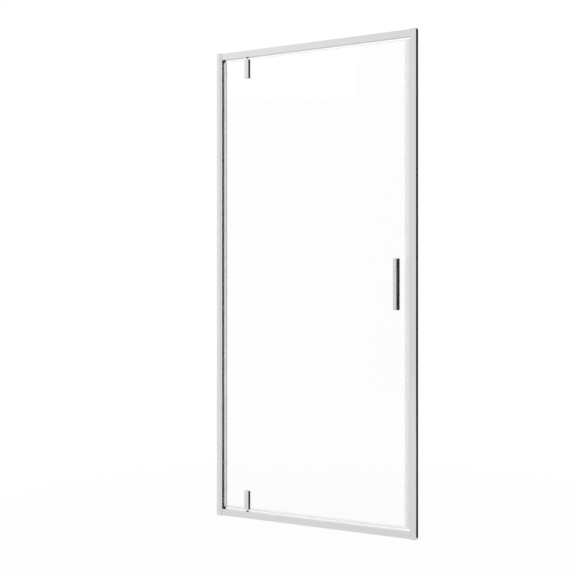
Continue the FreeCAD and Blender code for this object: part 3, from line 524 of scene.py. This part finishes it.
# %% The pane's glass
def pane_glass(tree, place):
    roller = noise(tree, place.stretched(0.6, 1, 3.5), 1.0)
    blobs = {"Vector": place, "Scale": 70.0}
    drops = tree.node("ShaderNodeTexVoronoi", {"feature": "SMOOTH_F1"}, blobs, "Distance")
    (height,) = place.parts("Z")
    splashed = (1 - height.between(0.1, 1.1)) * noise(tree, place, 7.0, FINE).between(0.5, 0.7)
    marks = (1 - drops.between(0.15, 0.3)) * splashed
    return {
        "Base Color": marks.mix((0.985, 0.988, 0.988, 1), (0.97, 0.972, 0.972, 1)),
        "Roughness": marks * 0.05,
        "Normal": bumped(tree, roller, 0.05 * MM),
    }


paint("clear_glass", pane_glass, **{"Transmission Weight": 1.0, "IOR": 1.5})


# %% [markdown]
# ### Soft clear strips
#
# The seals are clear PVC, pressed through a die like the bars. They are never as clear as glass:
# slightly milky, with long flow lines. Transmission with some roughness gives the milkiness, and an
# alpha below 1 keeps it faint. The seal on the hinge side is smokier than the others.


# %% The seals' clear PVC, along X and along Z
def clear_strip(along, tint=0.97, body=0.14):
    """Flow lines along one axis, 0 for X and 2 for Z. The body is the share of what is behind that
    the tint covers."""

    def recipe(tree, place):
        squeeze = [2.0 if axis == along else 700.0 for axis in range(3)]
        flow = noise(tree, place.stretched(*squeeze), 1.0, FINE)
        haze = noise(tree, place, 30.0, FINE)
        return {
            "Base Color": haze.mix(grey_of(tint), grey_of(tint + 0.02)),
            "Roughness": 0.12 + flow * 0.1 + haze * 0.08,
            "Alpha": body + haze * 0.12,
            "Normal": bumped(tree, flow, 0.02 * MM),
        }

    return recipe


SOFT_CLEAR = {"Transmission Weight": 0.8, "IOR": 1.25}
paint("clear_strip_across", clear_strip(along=0), **SOFT_CLEAR)
paint("clear_strip_upright", clear_strip(along=2), **SOFT_CLEAR)
paint("smoky_strip", clear_strip(along=2, tint=0.80, body=0.3), **SOFT_CLEAR)


# %% [markdown]
# ### Plastics and rubbers
#
# Moulded plastic has a spark-eroded skin: a fine even grain, a little shinier on its edges. The
# white strips have a shallower one. Rubber is dull and dusty. One function with a few numbers makes
# them all.


# %% Moulded and rubber finishes
def moulded(dark, light, rough, grain_size, grain_depth):
    """A grained skin between two colours, with its roughness and its grain in metres."""

    def recipe(tree, place):
        grain = noise(tree, place, 1 / grain_size, FINE)
        cloud = noise(tree, place, 45.0, FINE)
        rubbed = edges(tree, 0.4 * MM)
        worn = [min(1, part * 1.08) for part in light]
        return {
            "Base Color": rubbed.mix(cloud.mix((*dark, 1), (*light, 1)), (*worn, 1)),
            "Roughness": rough + grain * 0.12 - rubbed * 0.1,
            "Normal": bumped(tree, grain, grain_depth),
        }

    return recipe


MOULDED = {  # dark, light, roughness, then the grain's size and depth in millimetres
    "cap_plastic": ((0.60, 0.60, 0.61), (0.66, 0.66, 0.67), 0.32, 0.5, 0.02),
    "strip_plastic": ((0.86, 0.865, 0.87), (0.90, 0.90, 0.905), 0.28, 0.6, 0.01),
    "white_strip": ((0.95, 0.952, 0.954), (0.97, 0.97, 0.972), 0.28, 0.6, 0.01),
    "soft_rubber": ((0.018, 0.018, 0.019), (0.035, 0.035, 0.036), 0.6, 0.35, 0.03),
    "magnet_rubber": ((0.035, 0.032, 0.03), (0.06, 0.056, 0.052), 0.62, 0.3, 0.03),
    "bearing_nylon": ((0.10, 0.10, 0.105), (0.14, 0.14, 0.145), 0.36, 0.4, 0.015),
}
for name, (dark, light, rough, size, depth) in MOULDED.items():
    paint(name, moulded(dark, light, rough, size * MM, depth * MM))

# %% [markdown]
# ## Finer copies of the CAD's own shapes
#
# A CAD node comes as loose triangles with knife-sharp edges. Real bars, plates and caps have eased
# edges that catch a line of light. Where the CAD shape is right, a copy of it is made: its doubles
# merged, its flat faces joined again, then a Bevel modifier eases every sharp edge by a fraction of
# a millimetre. The copy stands for the node.

# %% A copy with eased edges
SHARP = math.radians(42)  # edges that turn more than this are eased
FLAT = math.radians(0.6)  # faces that turn less than this are one face
SAME_POINT = 0.001 * MM  # corners nearer than this are one
EASE_STEPS = 2


def finished(piece, body, finish, replaced):
    """Give a finished piece its material, body and slot, and let it stand for its CAD nodes. Its
    slot is named after its finish."""
    piece.data.materials.clear()
    piece.data.materials.append(finishes[finish])
    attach(piece, body)
    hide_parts(*replaced)
    print(f"{piece.name}: {len(piece.data.polygons)} faces, on {body}")


def applied(piece):
    """The piece with its modifiers worked into a plain mesh."""
    evaluated = piece.evaluated_get(bpy.context.evaluated_depsgraph_get())
    mesh = bpy.data.meshes.new_from_object(evaluated)
    piece.modifiers.clear()
    piece.data = mesh
    mesh.name = piece.name
    return piece


def shade_by_angle(mesh, angle=SHARP):
    """Smooth across shallow edges, and crisp where faces meet at more than an angle."""
    mesh.polygons.foreach_set("use_smooth", [True] * len(mesh.polygons))
    mesh.set_sharp_from_angle(angle=angle)


def merged(node):
    """A CAD node's triangles as one connected bmesh, with each flat face whole."""
    shape = bmesh.new()
    shape.from_mesh(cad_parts[node].data)
    bmesh.ops.remove_doubles(shape, verts=shape.verts, dist=SAME_POINT)
    whole = {"verts": shape.verts, "edges": shape.edges}
    bmesh.ops.dissolve_limit(shape, angle_limit=FLAT, delimit={"NORMAL"}, **whole)
    return shape


def eased(node, ease):
    """An object with the node's shape, its edges eased by so many millimetres."""
    shape = merged(node)
    mesh = bpy.data.meshes.new(f"{node}_eased")
    shape.to_mesh(mesh)
    shape.free()
    piece = bpy.data.objects.new(f"{node}_eased", mesh)
    bpy.context.scene.collection.objects.link(piece)
    bevel = piece.modifiers.new("ease", "BEVEL")
    bevel.limit_method = "ANGLE"
    bevel.angle_limit = SHARP
    bevel.width = ease * MM
    bevel.segments = EASE_STEPS
    bevel.use_clamp_overlap = True
    applied(piece)
    low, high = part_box(node)
    for vertex in piece.data.vertices:  # easing can push a corner out by a hair
        sides = zip(vertex.co, low, high)
        vertex.co = [min(max(value, least), most) for value, least, most in sides]
    shade_by_angle(piece.data)
    level = piece.modifiers.new("level", "WEIGHTED_NORMAL")
    level.keep_sharp = True
    return applied(piece)


# %% [markdown]
# ## The frame's bars
#
# Two wall profiles are screwed to the walls, a jamb slides in each, and two rails join the jambs.
# The CAD has them hollow and drilled, so they only need eased edges and the finish whose lines run
# their way. The rails are sawn to length, and at their left ends they stop short of the jamb by a
# hair, which shows as a fine dark seam.

# %% Bars with eased edges
UPRIGHTS = ["wall_profile_left", "wall_profile_right", "jamb_left", "jamb_right"]
RAILS = ["top_rail", "bottom_rail"]
BAR_EASE, CAP_EASE, WEDGE_EASE = 0.25, 0.2, 0.3  # millimetres
SEAM = 1.0 * MM
SAWN_END = 2.0 * MM  # what lies this near a rail's left end moves with it
for node in UPRIGHTS + RAILS:
    bar = eased(node, BAR_EASE)
    if node in RAILS:
        left_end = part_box(node)[0].x
        for vertex in bar.data.vertices:
            if vertex.co.x < left_end + SAWN_END:
                vertex.co.x += SEAM
    finish = "aluminium_across" if node in RAILS else "aluminium_upright"
    finished(bar, "frame", finish, [node])

# %% [markdown]
# ## End caps and corner blocks
#
# Plastic caps close the uprights' ends, and a small rubber wedge sits in each corner on the hinge
# side.

# %% Caps and wedges
for node in ("top_end_caps", "bottom_end_caps"):
    finished(eased(node, CAP_EASE), "frame", "cap_plastic", [node])
finished(eased("corner_blocks", WEDGE_EASE), "frame", "soft_rubber", ["corner_blocks"])

# %% [markdown]
# ## Geometry Nodes, twice
#
# Two node trees make the rest. `press` is a die: it fills a drawn section, rounds its corners and
# pulls it to length, which is how seals are made. `repeat` puts one finished part at many places,
# each turned its own way, which is how screws and covers come. `Recipe` is a tree with named
# inputs, and `run` sets them by their identifiers, evaluates the tree once and keeps the result as
# a plain mesh.


# %% A tree with named inputs
class Recipe(Tree):
    """A Geometry Nodes tree. Its inputs are named, with their socket types."""

    def __init__(self, name, **inputs):
        group = bpy.data.node_groups.new(name, "GeometryNodeTree")
        super().__init__(group)
        add = group.interface.new_socket
        add("Geometry", in_out="INPUT", socket_type="NodeSocketGeometry")
        self.identifiers = {}
        for label, kind in inputs.items():
            socket = add(label, in_out="INPUT", socket_type=f"NodeSocket{kind}")
            self.identifiers[label] = socket.identifier
        add("Geometry", in_out="OUTPUT", socket_type="NodeSocketGeometry")
        self.given = self.tree.nodes.new("NodeGroupInput")

    def __getitem__(self, label):
        return Wire(self, self.given.outputs[label])

    def finish(self, shape):
        """End the tree: real meshes instead of instances, then the material."""
        real = self.node("GeometryNodeRealizeInstances", {}, {"Geometry": shape})
        inputs = {"Geometry": real, "Material": self["Finish"]}
        painted = self.node("GeometryNodeSetMaterial", {}, inputs)
        self.node("NodeGroupOutput", {}, {"Geometry": painted})

    def run(self, name, mesh, **values):
        """A new object from this tree, with a start mesh and the inputs' values."""
        piece = bpy.data.objects.new(name, mesh)
        bpy.context.scene.collection.objects.link(piece)
        modifier = piece.modifiers.new(name, "NODES")
        modifier.node_group = self.tree
        for label, value in values.items():
            modifier[self.identifiers[label]] = value
        return applied(piece)


# %% [markdown]
# ### The die
#
# A section is drawn as closed loops of (x, y, corner radius) in millimetres. Inner loops become
# hollows. The tree turns the loops into curves, rounds each corner by its own radius, fills between
# them, and extrudes.

# %% The tree that presses a section
press = Recipe("press", Finish="Material", Length="Float", Turn="Rotation", Start="Vector")
drawn = press.node("GeometryNodeMeshToCurve", {}, {"Mesh": press["Geometry"]})
radii = press.node("GeometryNodeInputNamedAttribute", {"data_type": "FLOAT"}, {"Name": "corner"})
CORNER_STEPS = 3
rounding = {"Curve": drawn, "Count": CORNER_STEPS, "Radius": radii, "Limit Radius": True}
rounded = press.node("GeometryNodeFilletCurve", {"mode": "POLY"}, rounding)
face = press.node("GeometryNodeFillCurve", {"mode": "NGONS"}, {"Curve": rounded})
push = press.node("ShaderNodeCombineXYZ", {}, {"Z": press["Length"]})
pull = {"Mesh": face, "Offset": push, "Individual": False}
pulled = press.node("GeometryNodeExtrudeMesh", {"mode": "FACES"}, pull)
back = press.node("GeometryNodeFlipFaces", {}, {"Mesh": face})
both = press.node("GeometryNodeJoinGeometry", {}, {"Geometry": pulled})
press.tree.links.new(back.socket, both.socket.node.inputs[0])
closing = {"Geometry": both, "Distance": SAME_POINT / 2}
closed = press.node("GeometryNodeMergeByDistance", {}, closing)
laid = {"Geometry": closed, "Translation": press["Start"], "Rotation": press["Turn"]}
press.finish(press.node("GeometryNodeTransform", {}, laid))
print("the die has", len(press.tree.nodes), "nodes")

# %% Draw a section and press it
UPRIGHT = (0, 0, 0)  # the section is seen from above, and the piece runs up
ALONG = (math.pi / 2, 0, math.pi / 2)  # it is seen from the right, and the piece runs along X


def section(name, loops):
    """Closed loops of (x, y, corner radius) in millimetres, as edges with a corner attribute."""
    points, lines, corners = [], [], []
    for loop in loops:
        first = len(points)
        points += [(x * MM, y * MM, 0) for x, y, _ in loop]
        corners += [radius * MM for _, _, radius in loop]
        lines += [(first + i, first + (i + 1) % len(loop)) for i in range(len(loop))]
    mesh = bpy.data.meshes.new(f"{name}_section")
    mesh.from_pydata(points, lines, [])
    mesh.attributes.new("corner", "FLOAT", "POINT").data.foreach_set("value", corners)
    return mesh


def pressed(name, loops, start, length, turn, finish):
    """A strip with the section drawn in loops."""
    values = {"Finish": finishes[finish], "Length": length, "Turn": turn, "Start": start}
    strip = press.run(name, section(name, loops), **values)
    shade_by_angle(strip.data)
    return strip


def block(x_low, x_high, y_low, y_high, corner):
    """A rectangle as one loop."""
    ends = ((x_low, y_low), (x_high, y_low), (x_high, y_high), (x_low, y_high))
    return [(x, y, corner) for x, y in ends]


# %% [markdown]
# ## Seals on the upright edges
#
# The right edge of the glass wears a closing seal, pressed from two plastics at once: two clear
# legs grip the glass, and a white square tube, which they run into, holds a magnet bar. The left
# edge wears a hollow clear seal with a thin fin towards the jamb, and the glass sits in it on a
# dark bead, which shows through the pane as a fine line. Their sections are drawn with the glass
# edge at x = 0, and their heights and places come from the CAD nodes.

# %% Closing seal, hinge side seal and the strip they close against
GLASS = 3.0  # half the thickness of the glass, in millimetres
WALL = 1.0
OUTSIDE = GLASS + WALL
TIP = 0.45  # rounding of a leg's tip
LEG = 9.0  # how far a leg reaches over the glass
CHANNEL = (-2.5, 2.5, 0.15)  # the sides of a magnet's channel and its rounding


def upright(name, node, loops, edge, finish, body="leaf"):
    """An upright strip as long as its CAD node, whose section has its zero at an edge."""
    low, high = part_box(node)
    strip = pressed(name, loops, (edge, glass_y, low.z), high.z - low.z, UPRIGHT, finish)
    finished(strip, body, finish, [node])


JOIN = 1.0  # where the clear plastic ends and the white begins
NOSE = 10.4  # where the white tube ends
legs = [
    [
        (-LEG, -OUTSIDE, TIP),
        (JOIN, -OUTSIDE, 0.0),
        (JOIN, OUTSIDE, 0.0),
        (-LEG, OUTSIDE, TIP),
        (-LEG, GLASS, TIP),
        (0.0, GLASS, 0.0),
        (0.0, -GLASS, 0.0),
        (-LEG, -GLASS, TIP),
    ],
]
tube = [
    [(JOIN, -OUTSIDE, 0.0), (NOSE, -OUTSIDE, 0.9), (NOSE, OUTSIDE, 0.9), (JOIN, OUTSIDE, 0.0)],
    block(5.6, 9.4, *CHANNEL),
]
right = pane_high.x
upright("closing_seal_legs", "closing_seal", legs, right, "clear_strip_upright")
upright("closing_seal_tube", "closing_seal", tube, right, "white_strip")

BEAD, CLEAR = 0.6, 0.02  # the bead's thickness and the gap round it
GRIP = 4.4  # how far this seal's short legs reach over the glass
BACK, FIN_TIP = -9.9, -15.4  # where the body ends, and where the fin ends
FIN = 0.4  # half the fin's thickness
hinge_side = [
    [
        (GRIP, -OUTSIDE, TIP),
        (GRIP, -GLASS, TIP),
        (-BEAD, -GLASS, 0.0),
        (-BEAD, GLASS, 0.0),
        (GRIP, GLASS, TIP),
        (GRIP, OUTSIDE, TIP),
        (BACK, OUTSIDE, 1.4),
        (BACK, FIN, 0.3),
        (FIN_TIP, FIN, 0.39),
        (FIN_TIP, -FIN, 0.39),
        (BACK, -FIN, 0.3),
        (BACK, -OUTSIDE, 1.4),
    ],
    block(-8.9, -BEAD - WALL, -GLASS, GLASS, 0.8),
]
bead = [block(-BEAD, -CLEAR, -GLASS + CLEAR, GLASS - CLEAR, 0.15)]
left = pane_low.x
upright("hinge_side_seal_strip", "hinge_side_seal", hinge_side, left, "smoky_strip")
upright("hinge_side_seal_bead", "hinge_side_seal", bead, left, "soft_rubber")

strike = [
    [(-6.8, -5.0, 0.8), (0.0, -5.0, 0.1), (0.0, 5.0, 0.1), (-6.8, 5.0, 0.8)],
    block(-5.8, -2.0, *CHANNEL),
]
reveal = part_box("strike_strip")[1].x
upright(
    "strike_strip_bar", "strike_strip", strike, reveal, "strip_plastic", "frame"
)

# %% [markdown]
# ## Drip seals
#
# Under the glass a seal runs on each side of the hinge: two legs, a hollow floor, and a lip at the
# back that sheds water into the shower. The same die presses it, turned to run along X.

# %% The two lengths of drip seal
FLOOR_DROP, LIP = -2.6, 3.0  # the hollow floor's underside, and how far the lip hangs below it
drip = [
    [
        (-OUTSIDE, LEG, TIP),
        (-OUTSIDE, FLOOR_DROP, 0.9),
        (OUTSIDE - WALL - LIP / 2, FLOOR_DROP, 1.2),
        (OUTSIDE - WALL, FLOOR_DROP - LIP, 0.45),
        (OUTSIDE, FLOOR_DROP - LIP, 0.45),
        (OUTSIDE, LEG, TIP),
        (GLASS, LEG, TIP),
        (GLASS, 0.0, 0.0),
        (-GLASS, 0.0, 0.0),
        (-GLASS, LEG, TIP),
    ],
    block(-GLASS, GLASS, FLOOR_DROP + WALL, -WALL, 0.4),
]
for node in ("drip_seal_short", "drip_seal_long"):
    low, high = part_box(node)
    start = (low.x, glass_y, pane_low.z)
    strip = pressed(f"{node}_strip", drip, start, high.x - low.x, ALONG, "clear_strip_across")
    finished(strip, "leaf", "clear_strip_across", [node])

# %% [markdown]
# ## Turned parts
#
# Screws, pins, bushes and covers come off a lathe. `turned` stacks rings of a radius at a height
# and joins them. A ring may have six corners, which makes a key's socket. The first and the last
# ring have a radius of 0: each is a pole, where the faces meet in one point.

# %% A small lathe
LATHE_STEPS = 48
TURNED_SHARP = math.radians(35)


def turned(name, rings):
    """Rings of (radius, height) or (radius, height, 6) in millimetres, from pole to pole."""
    points, faces, last = [], [], None
    for radius, height, *corners in rings:
        first = len(points)
        if radius == 0:
            points.append((0, 0, height * MM))
            ring = [first] * LATHE_STEPS
        else:
            for step in range(LATHE_STEPS):
                angle = math.tau * step / LATHE_STEPS
                reach = radius
                if corners:
                    sector = math.tau / corners[0]
                    reach = radius / math.cos((angle % sector) - sector / 2)
                x, y = reach * MM * math.cos(angle), reach * MM * math.sin(angle)
                points.append((x, y, height * MM))
            ring = list(range(first, first + LATHE_STEPS))
        if last:
            for i in range(LATHE_STEPS):
                j = (i + 1) % LATHE_STEPS
                face = [last[i], last[j], ring[j], ring[i]]
                faces.append(list(dict.fromkeys(face)))  # at a pole, two corners are one
        last = ring
    mesh = bpy.data.meshes.new(name)
    mesh.from_pydata(points, [], faces)
    shape = bmesh.new()
    shape.from_mesh(mesh)
    bmesh.ops.recalc_face_normals(shape, faces=shape.faces)
    shape.to_mesh(mesh)
    shape.free()
    shade_by_angle(mesh, TURNED_SHARP)
    return mesh


# %% [markdown]
# ### Put a part at many places
#
# The places come from the boxes of the CAD node's own solids, and each point carries the way its
# part faces. The tree turns the part's +Z to that way, gives it a random turn about it where asked,
# and makes the copies real. The random turns have a fixed seed, because a fitter stops each screw
# at its own angle, but at the same one every time.

# %% The tree that repeats a part
repeat = Recipe("repeat", Finish="Material", Part="Object", Spin="Float", Seed="Int")
vector = {"data_type": "FLOAT_VECTOR"}
facing = repeat.node("GeometryNodeInputNamedAttribute", vector, {"Name": "facing"})
aimed = repeat.node("FunctionNodeAlignRotationToVector", {"axis": "Z"}, {"Vector": facing})
chance = {2: 0.0, 3: repeat["Spin"], "Seed": repeat["Seed"]}
spin = repeat.node("FunctionNodeRandomValue", {"data_type": "FLOAT"}, chance, output=1)
about_z = repeat.node("FunctionNodeAxisAngleToRotation", {}, {"Axis": (0, 0, 1), "Angle": spin})
turned_to = {"Rotation": aimed, "Rotate By": about_z}
posed = repeat.node("FunctionNodeRotateRotation", {"rotation_space": "LOCAL"}, turned_to)
part = repeat.node("GeometryNodeObjectInfo", {}, {"Object": repeat["Part"]}, "Geometry")
copies = {"Points": repeat["Geometry"], "Instance": part, "Rotation": posed}
repeat.finish(repeat.node("GeometryNodeInstanceOnPoints", {}, copies))
print("the repeater has", len(repeat.tree.nodes), "nodes")

SEED = 7
FULL_TURN = math.tau


def solids(node):
    """The boxes of a CAD node's separate solids, as (low, high), in order."""
    shape = merged(node)
    left, boxes = set(shape.verts), []
    while left:
        reached, edge_of_search = set(), [left.pop()]
        while edge_of_search:
            vertex = edge_of_search.pop()
            reached.add(vertex)
            near = {edge.other_vert(vertex) for edge in vertex.link_edges} & left
            left -= near
            edge_of_search += near
        ends = [[pick(v.co[i] for v in reached) for i in range(3)] for pick in (min, max)]
        boxes.append([Vector(end) for end in ends])
    shape.free()
    return sorted(boxes, key=lambda box: tuple(round(c, 5) for c in box[0]))


def middle_of(low, high):
    """The middle of a box, as x, y and z."""
    return [(least + most) / 2 for least, most in zip(low, high)]


def repeated(name, mesh, places, finish, spin=0.0):
    """Copies of a part at (place, facing) pairs."""
    master = bpy.data.objects.new(f"{name}_master", mesh)
    points = bpy.data.meshes.new(f"{name}_places")
    points.from_pydata([place for place, _ in places], [], [])
    points.attributes.new("facing", "FLOAT_VECTOR", "POINT").data.foreach_set(
        "vector", [value for _, way in places for value in way]
    )
    made = repeat.run(name, points, Finish=finishes[finish], Part=master, Spin=spin, Seed=SEED)
    bpy.data.objects.remove(master)
    return made


# %% [markdown]
# ## Covers on the lock screws
#
# On the back, three screws on each side lock the jamb in its wall profile. Round caps snap over
# them, slightly domed, with a fine groove for a fingernail.

# %% Six domed covers
OUT_OF_BACK = (0, 1, 0)


def from_behind(low, high, depth):
    """The middle of a box seen from behind, at a depth, and the way a part there faces."""
    x, _, z = middle_of(low, high)
    return (x, depth, z), OUT_OF_BACK


cover = turned(
    "cover",
    [(0, 2.4), (4.0, 2.4), (4.1, 0.0), (4.75, 0.0), (4.9, 0.2), (4.9, 0.7), (4.65, 0.85)]
    + [(4.65, 1.1), (4.9, 1.3), (4.9, 2.0), (4.7, 2.55), (4.2, 2.9), (3.2, 3.1), (1.6, 3.18)]
    + [(0, 3.2)],
)
covers = [from_behind(low, high, low.y) for low, high in solids("lock_screw_covers")]
made = repeated("lock_covers", cover, covers, "cap_plastic", FULL_TURN)
finished(made, "frame", "cap_plastic", ["lock_screw_covers"])


# %% [markdown]
# ## Sunk screws
#
# The clamp screws of the hinges and the handle and the screws of the pivot carriers are the same
# kind: a cone-shaped head that lies level with its plate, and a six-cornered socket for a key. One
# function draws them from their sizes.


# %% Clamp screws and carrier screws
PITCH, THREAD_DEPTH = 0.35, 0.25  # the thread is drawn as rings, in and out by turns


def sunk_screw(name, head, shank, cone, length, socket, socket_depth):
    """A sunk screw with its face at height 0 and its shank below, in millimetres."""
    ease = 0.12
    turns = int((length - cone - 1) / PITCH)
    thread = [(shank - THREAD_DEPTH * (i % 2), -length + 0.6 + PITCH * i) for i in range(turns)]
    point = [(0, -length), (shank - 0.5, -length)]
    face = [(shank, -cone), (head, -ease), (head - ease, 0), (socket + 0.35, 0)]
    key = [(socket + 0.1, -0.15, 6), (socket, -0.3, 6), (socket, -socket_depth, 6)]
    return turned(name, [*point, *thread, *face, *key, (0, -socket_depth - 0.3)])


for node in ("hinge_clamp_screws", "handle_screws"):
    boxes = solids(node)
    length = (boxes[0][1].y - boxes[0][0].y) / MM
    clamp = sunk_screw(
        node, head=3.9, shank=1.95, cone=1.9, length=length, socket=1.25, socket_depth=1.2
    )
    clamps = [from_behind(low, high, high.y) for low, high in boxes]
    made = repeated(f"{node}_turned", clamp, clamps, "stainless_steel", FULL_TURN)
    finished(made, "leaf", "stainless_steel", [node])

pane_middle = (pane_low.z + pane_high.z) / 2


def towards_opening(low, high):
    """The end of an upright turned part that looks into the doorway, and the way it faces."""
    x, y, z = middle_of(low, high)
    if z < pane_middle:
        return (x, y, high.z), (0, 0, 1)
    return (x, y, low.z), (0, 0, -1)


carrier = sunk_screw(
    "carrier", head=2.7, shank=1.45, cone=1.2, length=9.0, socket=1.0, socket_depth=0.9
)
carriers = [towards_opening(low, high) for low, high in solids("pivot_carrier_screws")]
made = repeated("carrier_screws", carrier, carriers, "stainless_steel", FULL_TURN)
finished(made, "frame", "stainless_steel", ["pivot_carrier_screws"])

# %% [markdown]
# ## Jack screw
#
# A flat-headed screw in the left jamb's inner face bears on the wall profile and sets the jamb
# plumb.

# %% The jack screw
JACK_HEAD = 0.3  # how far the head stands out
jack = turned(
    "jack",
    [(0, -24.0), (2.2, -24.0), (2.5, -23.6), (2.5, 0.0), (3.5, 0.0), (3.5, 0.15)]
    + [(3.35, JACK_HEAD), (2.0, JACK_HEAD), (1.65, 0.2, 6), (1.5, 0.0, 6), (1.5, -1.3, 6)]
    + [(0, -1.6)],
)
[(low, high)] = solids("jamb_jack_screw")
_, y, z = middle_of(low, high)
jack_place = ((high.x - JACK_HEAD * MM, y, z), (1, 0, 0))
made = repeated("jack_screw", jack, [jack_place], "stainless_steel")
finished(made, "frame", "stainless_steel", ["jamb_jack_screw"])

# %% [markdown]
# ## Pivot pins and bushes
#
# The leaf turns on two steel pins, one up into the top rail and one down into the bottom rail, each
# in a flanged nylon bush. Only a few millimetres of pin show, with two turned grooves.

# %% Pins and bushes
SEAT, REACH = 20.0, 10.4  # how far a pin goes into its hinge and into its rail
GROOVE_SHIFT = 5.5  # how far before the gap's end the second groove is drawn from
FLANGE = 1.2  # the thickness of a bush's flange


def pivot_pin(gap):
    """A pin that crosses a gap in millimetres from hinge to rail, grooved near both its ends."""
    grooves = [(3.0, 1.6), (2.75, 1.8), (2.75, 2.3), (3.0, 2.5)]
    second = [(radius, gap - GROOVE_SHIFT + height) for radius, height in grooves]
    root = [(0, -SEAT), (2.2, -SEAT), (3.0, 0.8 - SEAT)]
    tip = gap + REACH
    return turned("pin", [*root, *grooves, *second, (3.0, tip - 0.8), (2.2, tip), (0, tip)])


for node in ("top_pivot_pin", "bottom_pivot_pin"):
    low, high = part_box(node)
    x, _, z = middle_of(low, high)
    up = 1 if z > pane_middle else -1
    root = pane_high.z if up > 0 else pane_low.z
    pin = pivot_pin((high.z - low.z) / MM - (SEAT + REACH))
    place = ((x, glass_y, root), (0, 0, up))
    made = repeated(f"{node}_turned", pin, [place], "stainless_steel")
    finished(made, "leaf", "stainless_steel", [node])

bush = turned(
    "bush",
    [(0, -11.5), (3.05, -11.5), (3.05, 0.9), (3.35, FLANGE), (5.6, FLANGE), (5.9, 1.05)]
    + [(6.0, 0.75), (6.0, 0.0), (4.5, 0.0), (4.5, -12.7), (4.2, -13.0), (0, -13.0)],
)
bushes = []
for node in ("top_pivot_bush", "bottom_pivot_bush"):
    low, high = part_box(node)
    x, _, z = middle_of(low, high)
    up = 1 if z < pane_middle else -1
    seat = (high.z if up > 0 else low.z) - up * FLANGE * MM
    bushes.append(((x, glass_y, seat), (0, 0, up)))
made = repeated("pivot_bushes", bush, bushes, "bearing_nylon")
finished(made, "frame", "bearing_nylon", ["top_pivot_bush", "bottom_pivot_bush"])

# %% [markdown]
# ## Hinge plates
#
# Each hinge is a front plate with a spine that fills the notch in the glass, and a back plate,
# which clamp the pane between two soft gaskets. They are plated all over, so even their edges are
# eased and bright.

# %% Plates
PLATE_EASE = 0.12  # millimetres
for node in ("top_hinge_front", "bottom_hinge_front", "top_hinge_back", "bottom_hinge_back"):
    finished(eased(node, PLATE_EASE), "leaf", "chrome_plate", [node])

# %% [markdown]
# ## The handle
#
# A flat grip on two square posts, and two long plates that clamp the glass between gaskets, all
# held by two screws from inside. The grip is the piece that hands touch, so its edges are eased the
# most.

# %% Grip, posts and plates
for node, ease, finish in (
    ("handle_grip", 0.3, "chrome_plate"),
    # the base and posts take the darker copy of the plate, which is painted shade
    ("handle_posts", 0.25, "chrome_shaded"),
    ("handle_base", PLATE_EASE, "chrome_shaded"),
    ("handle_inner", PLATE_EASE, "chrome_plate"),
):
    finished(eased(node, ease), "leaf", finish, [node])

# %% [markdown]
# ## The CAD nodes that stay
#
# The pane and the pieces inside bars and hinges keep their CAD shape. Each only takes the finish of
# its material.

# %% Finish the rest
KEPT = {
    "clear_glass": ["door_glass"],
    "stainless_steel": ["rail_screws", "jamb_lock_screws", "thrust_disc"],
    "cast_zinc": ["top_pivot_carrier", "bottom_pivot_carrier"],
    "soft_rubber": ["top_hinge_gaskets", "bottom_hinge_gaskets", "handle_gaskets"],
    "magnet_rubber": ["strike_magnet", "closing_magnet"],
    "bearing_nylon": ["hinge_sleeves", "handle_sleeves"],
}
for finish, nodes in KEPT.items():
    for node in nodes:
        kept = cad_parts[node]
        kept.data.materials.clear()
        kept.data.materials.append(finishes[finish])
print(sum(len(nodes) for nodes in KEPT.values()), "CAD nodes keep their shape")
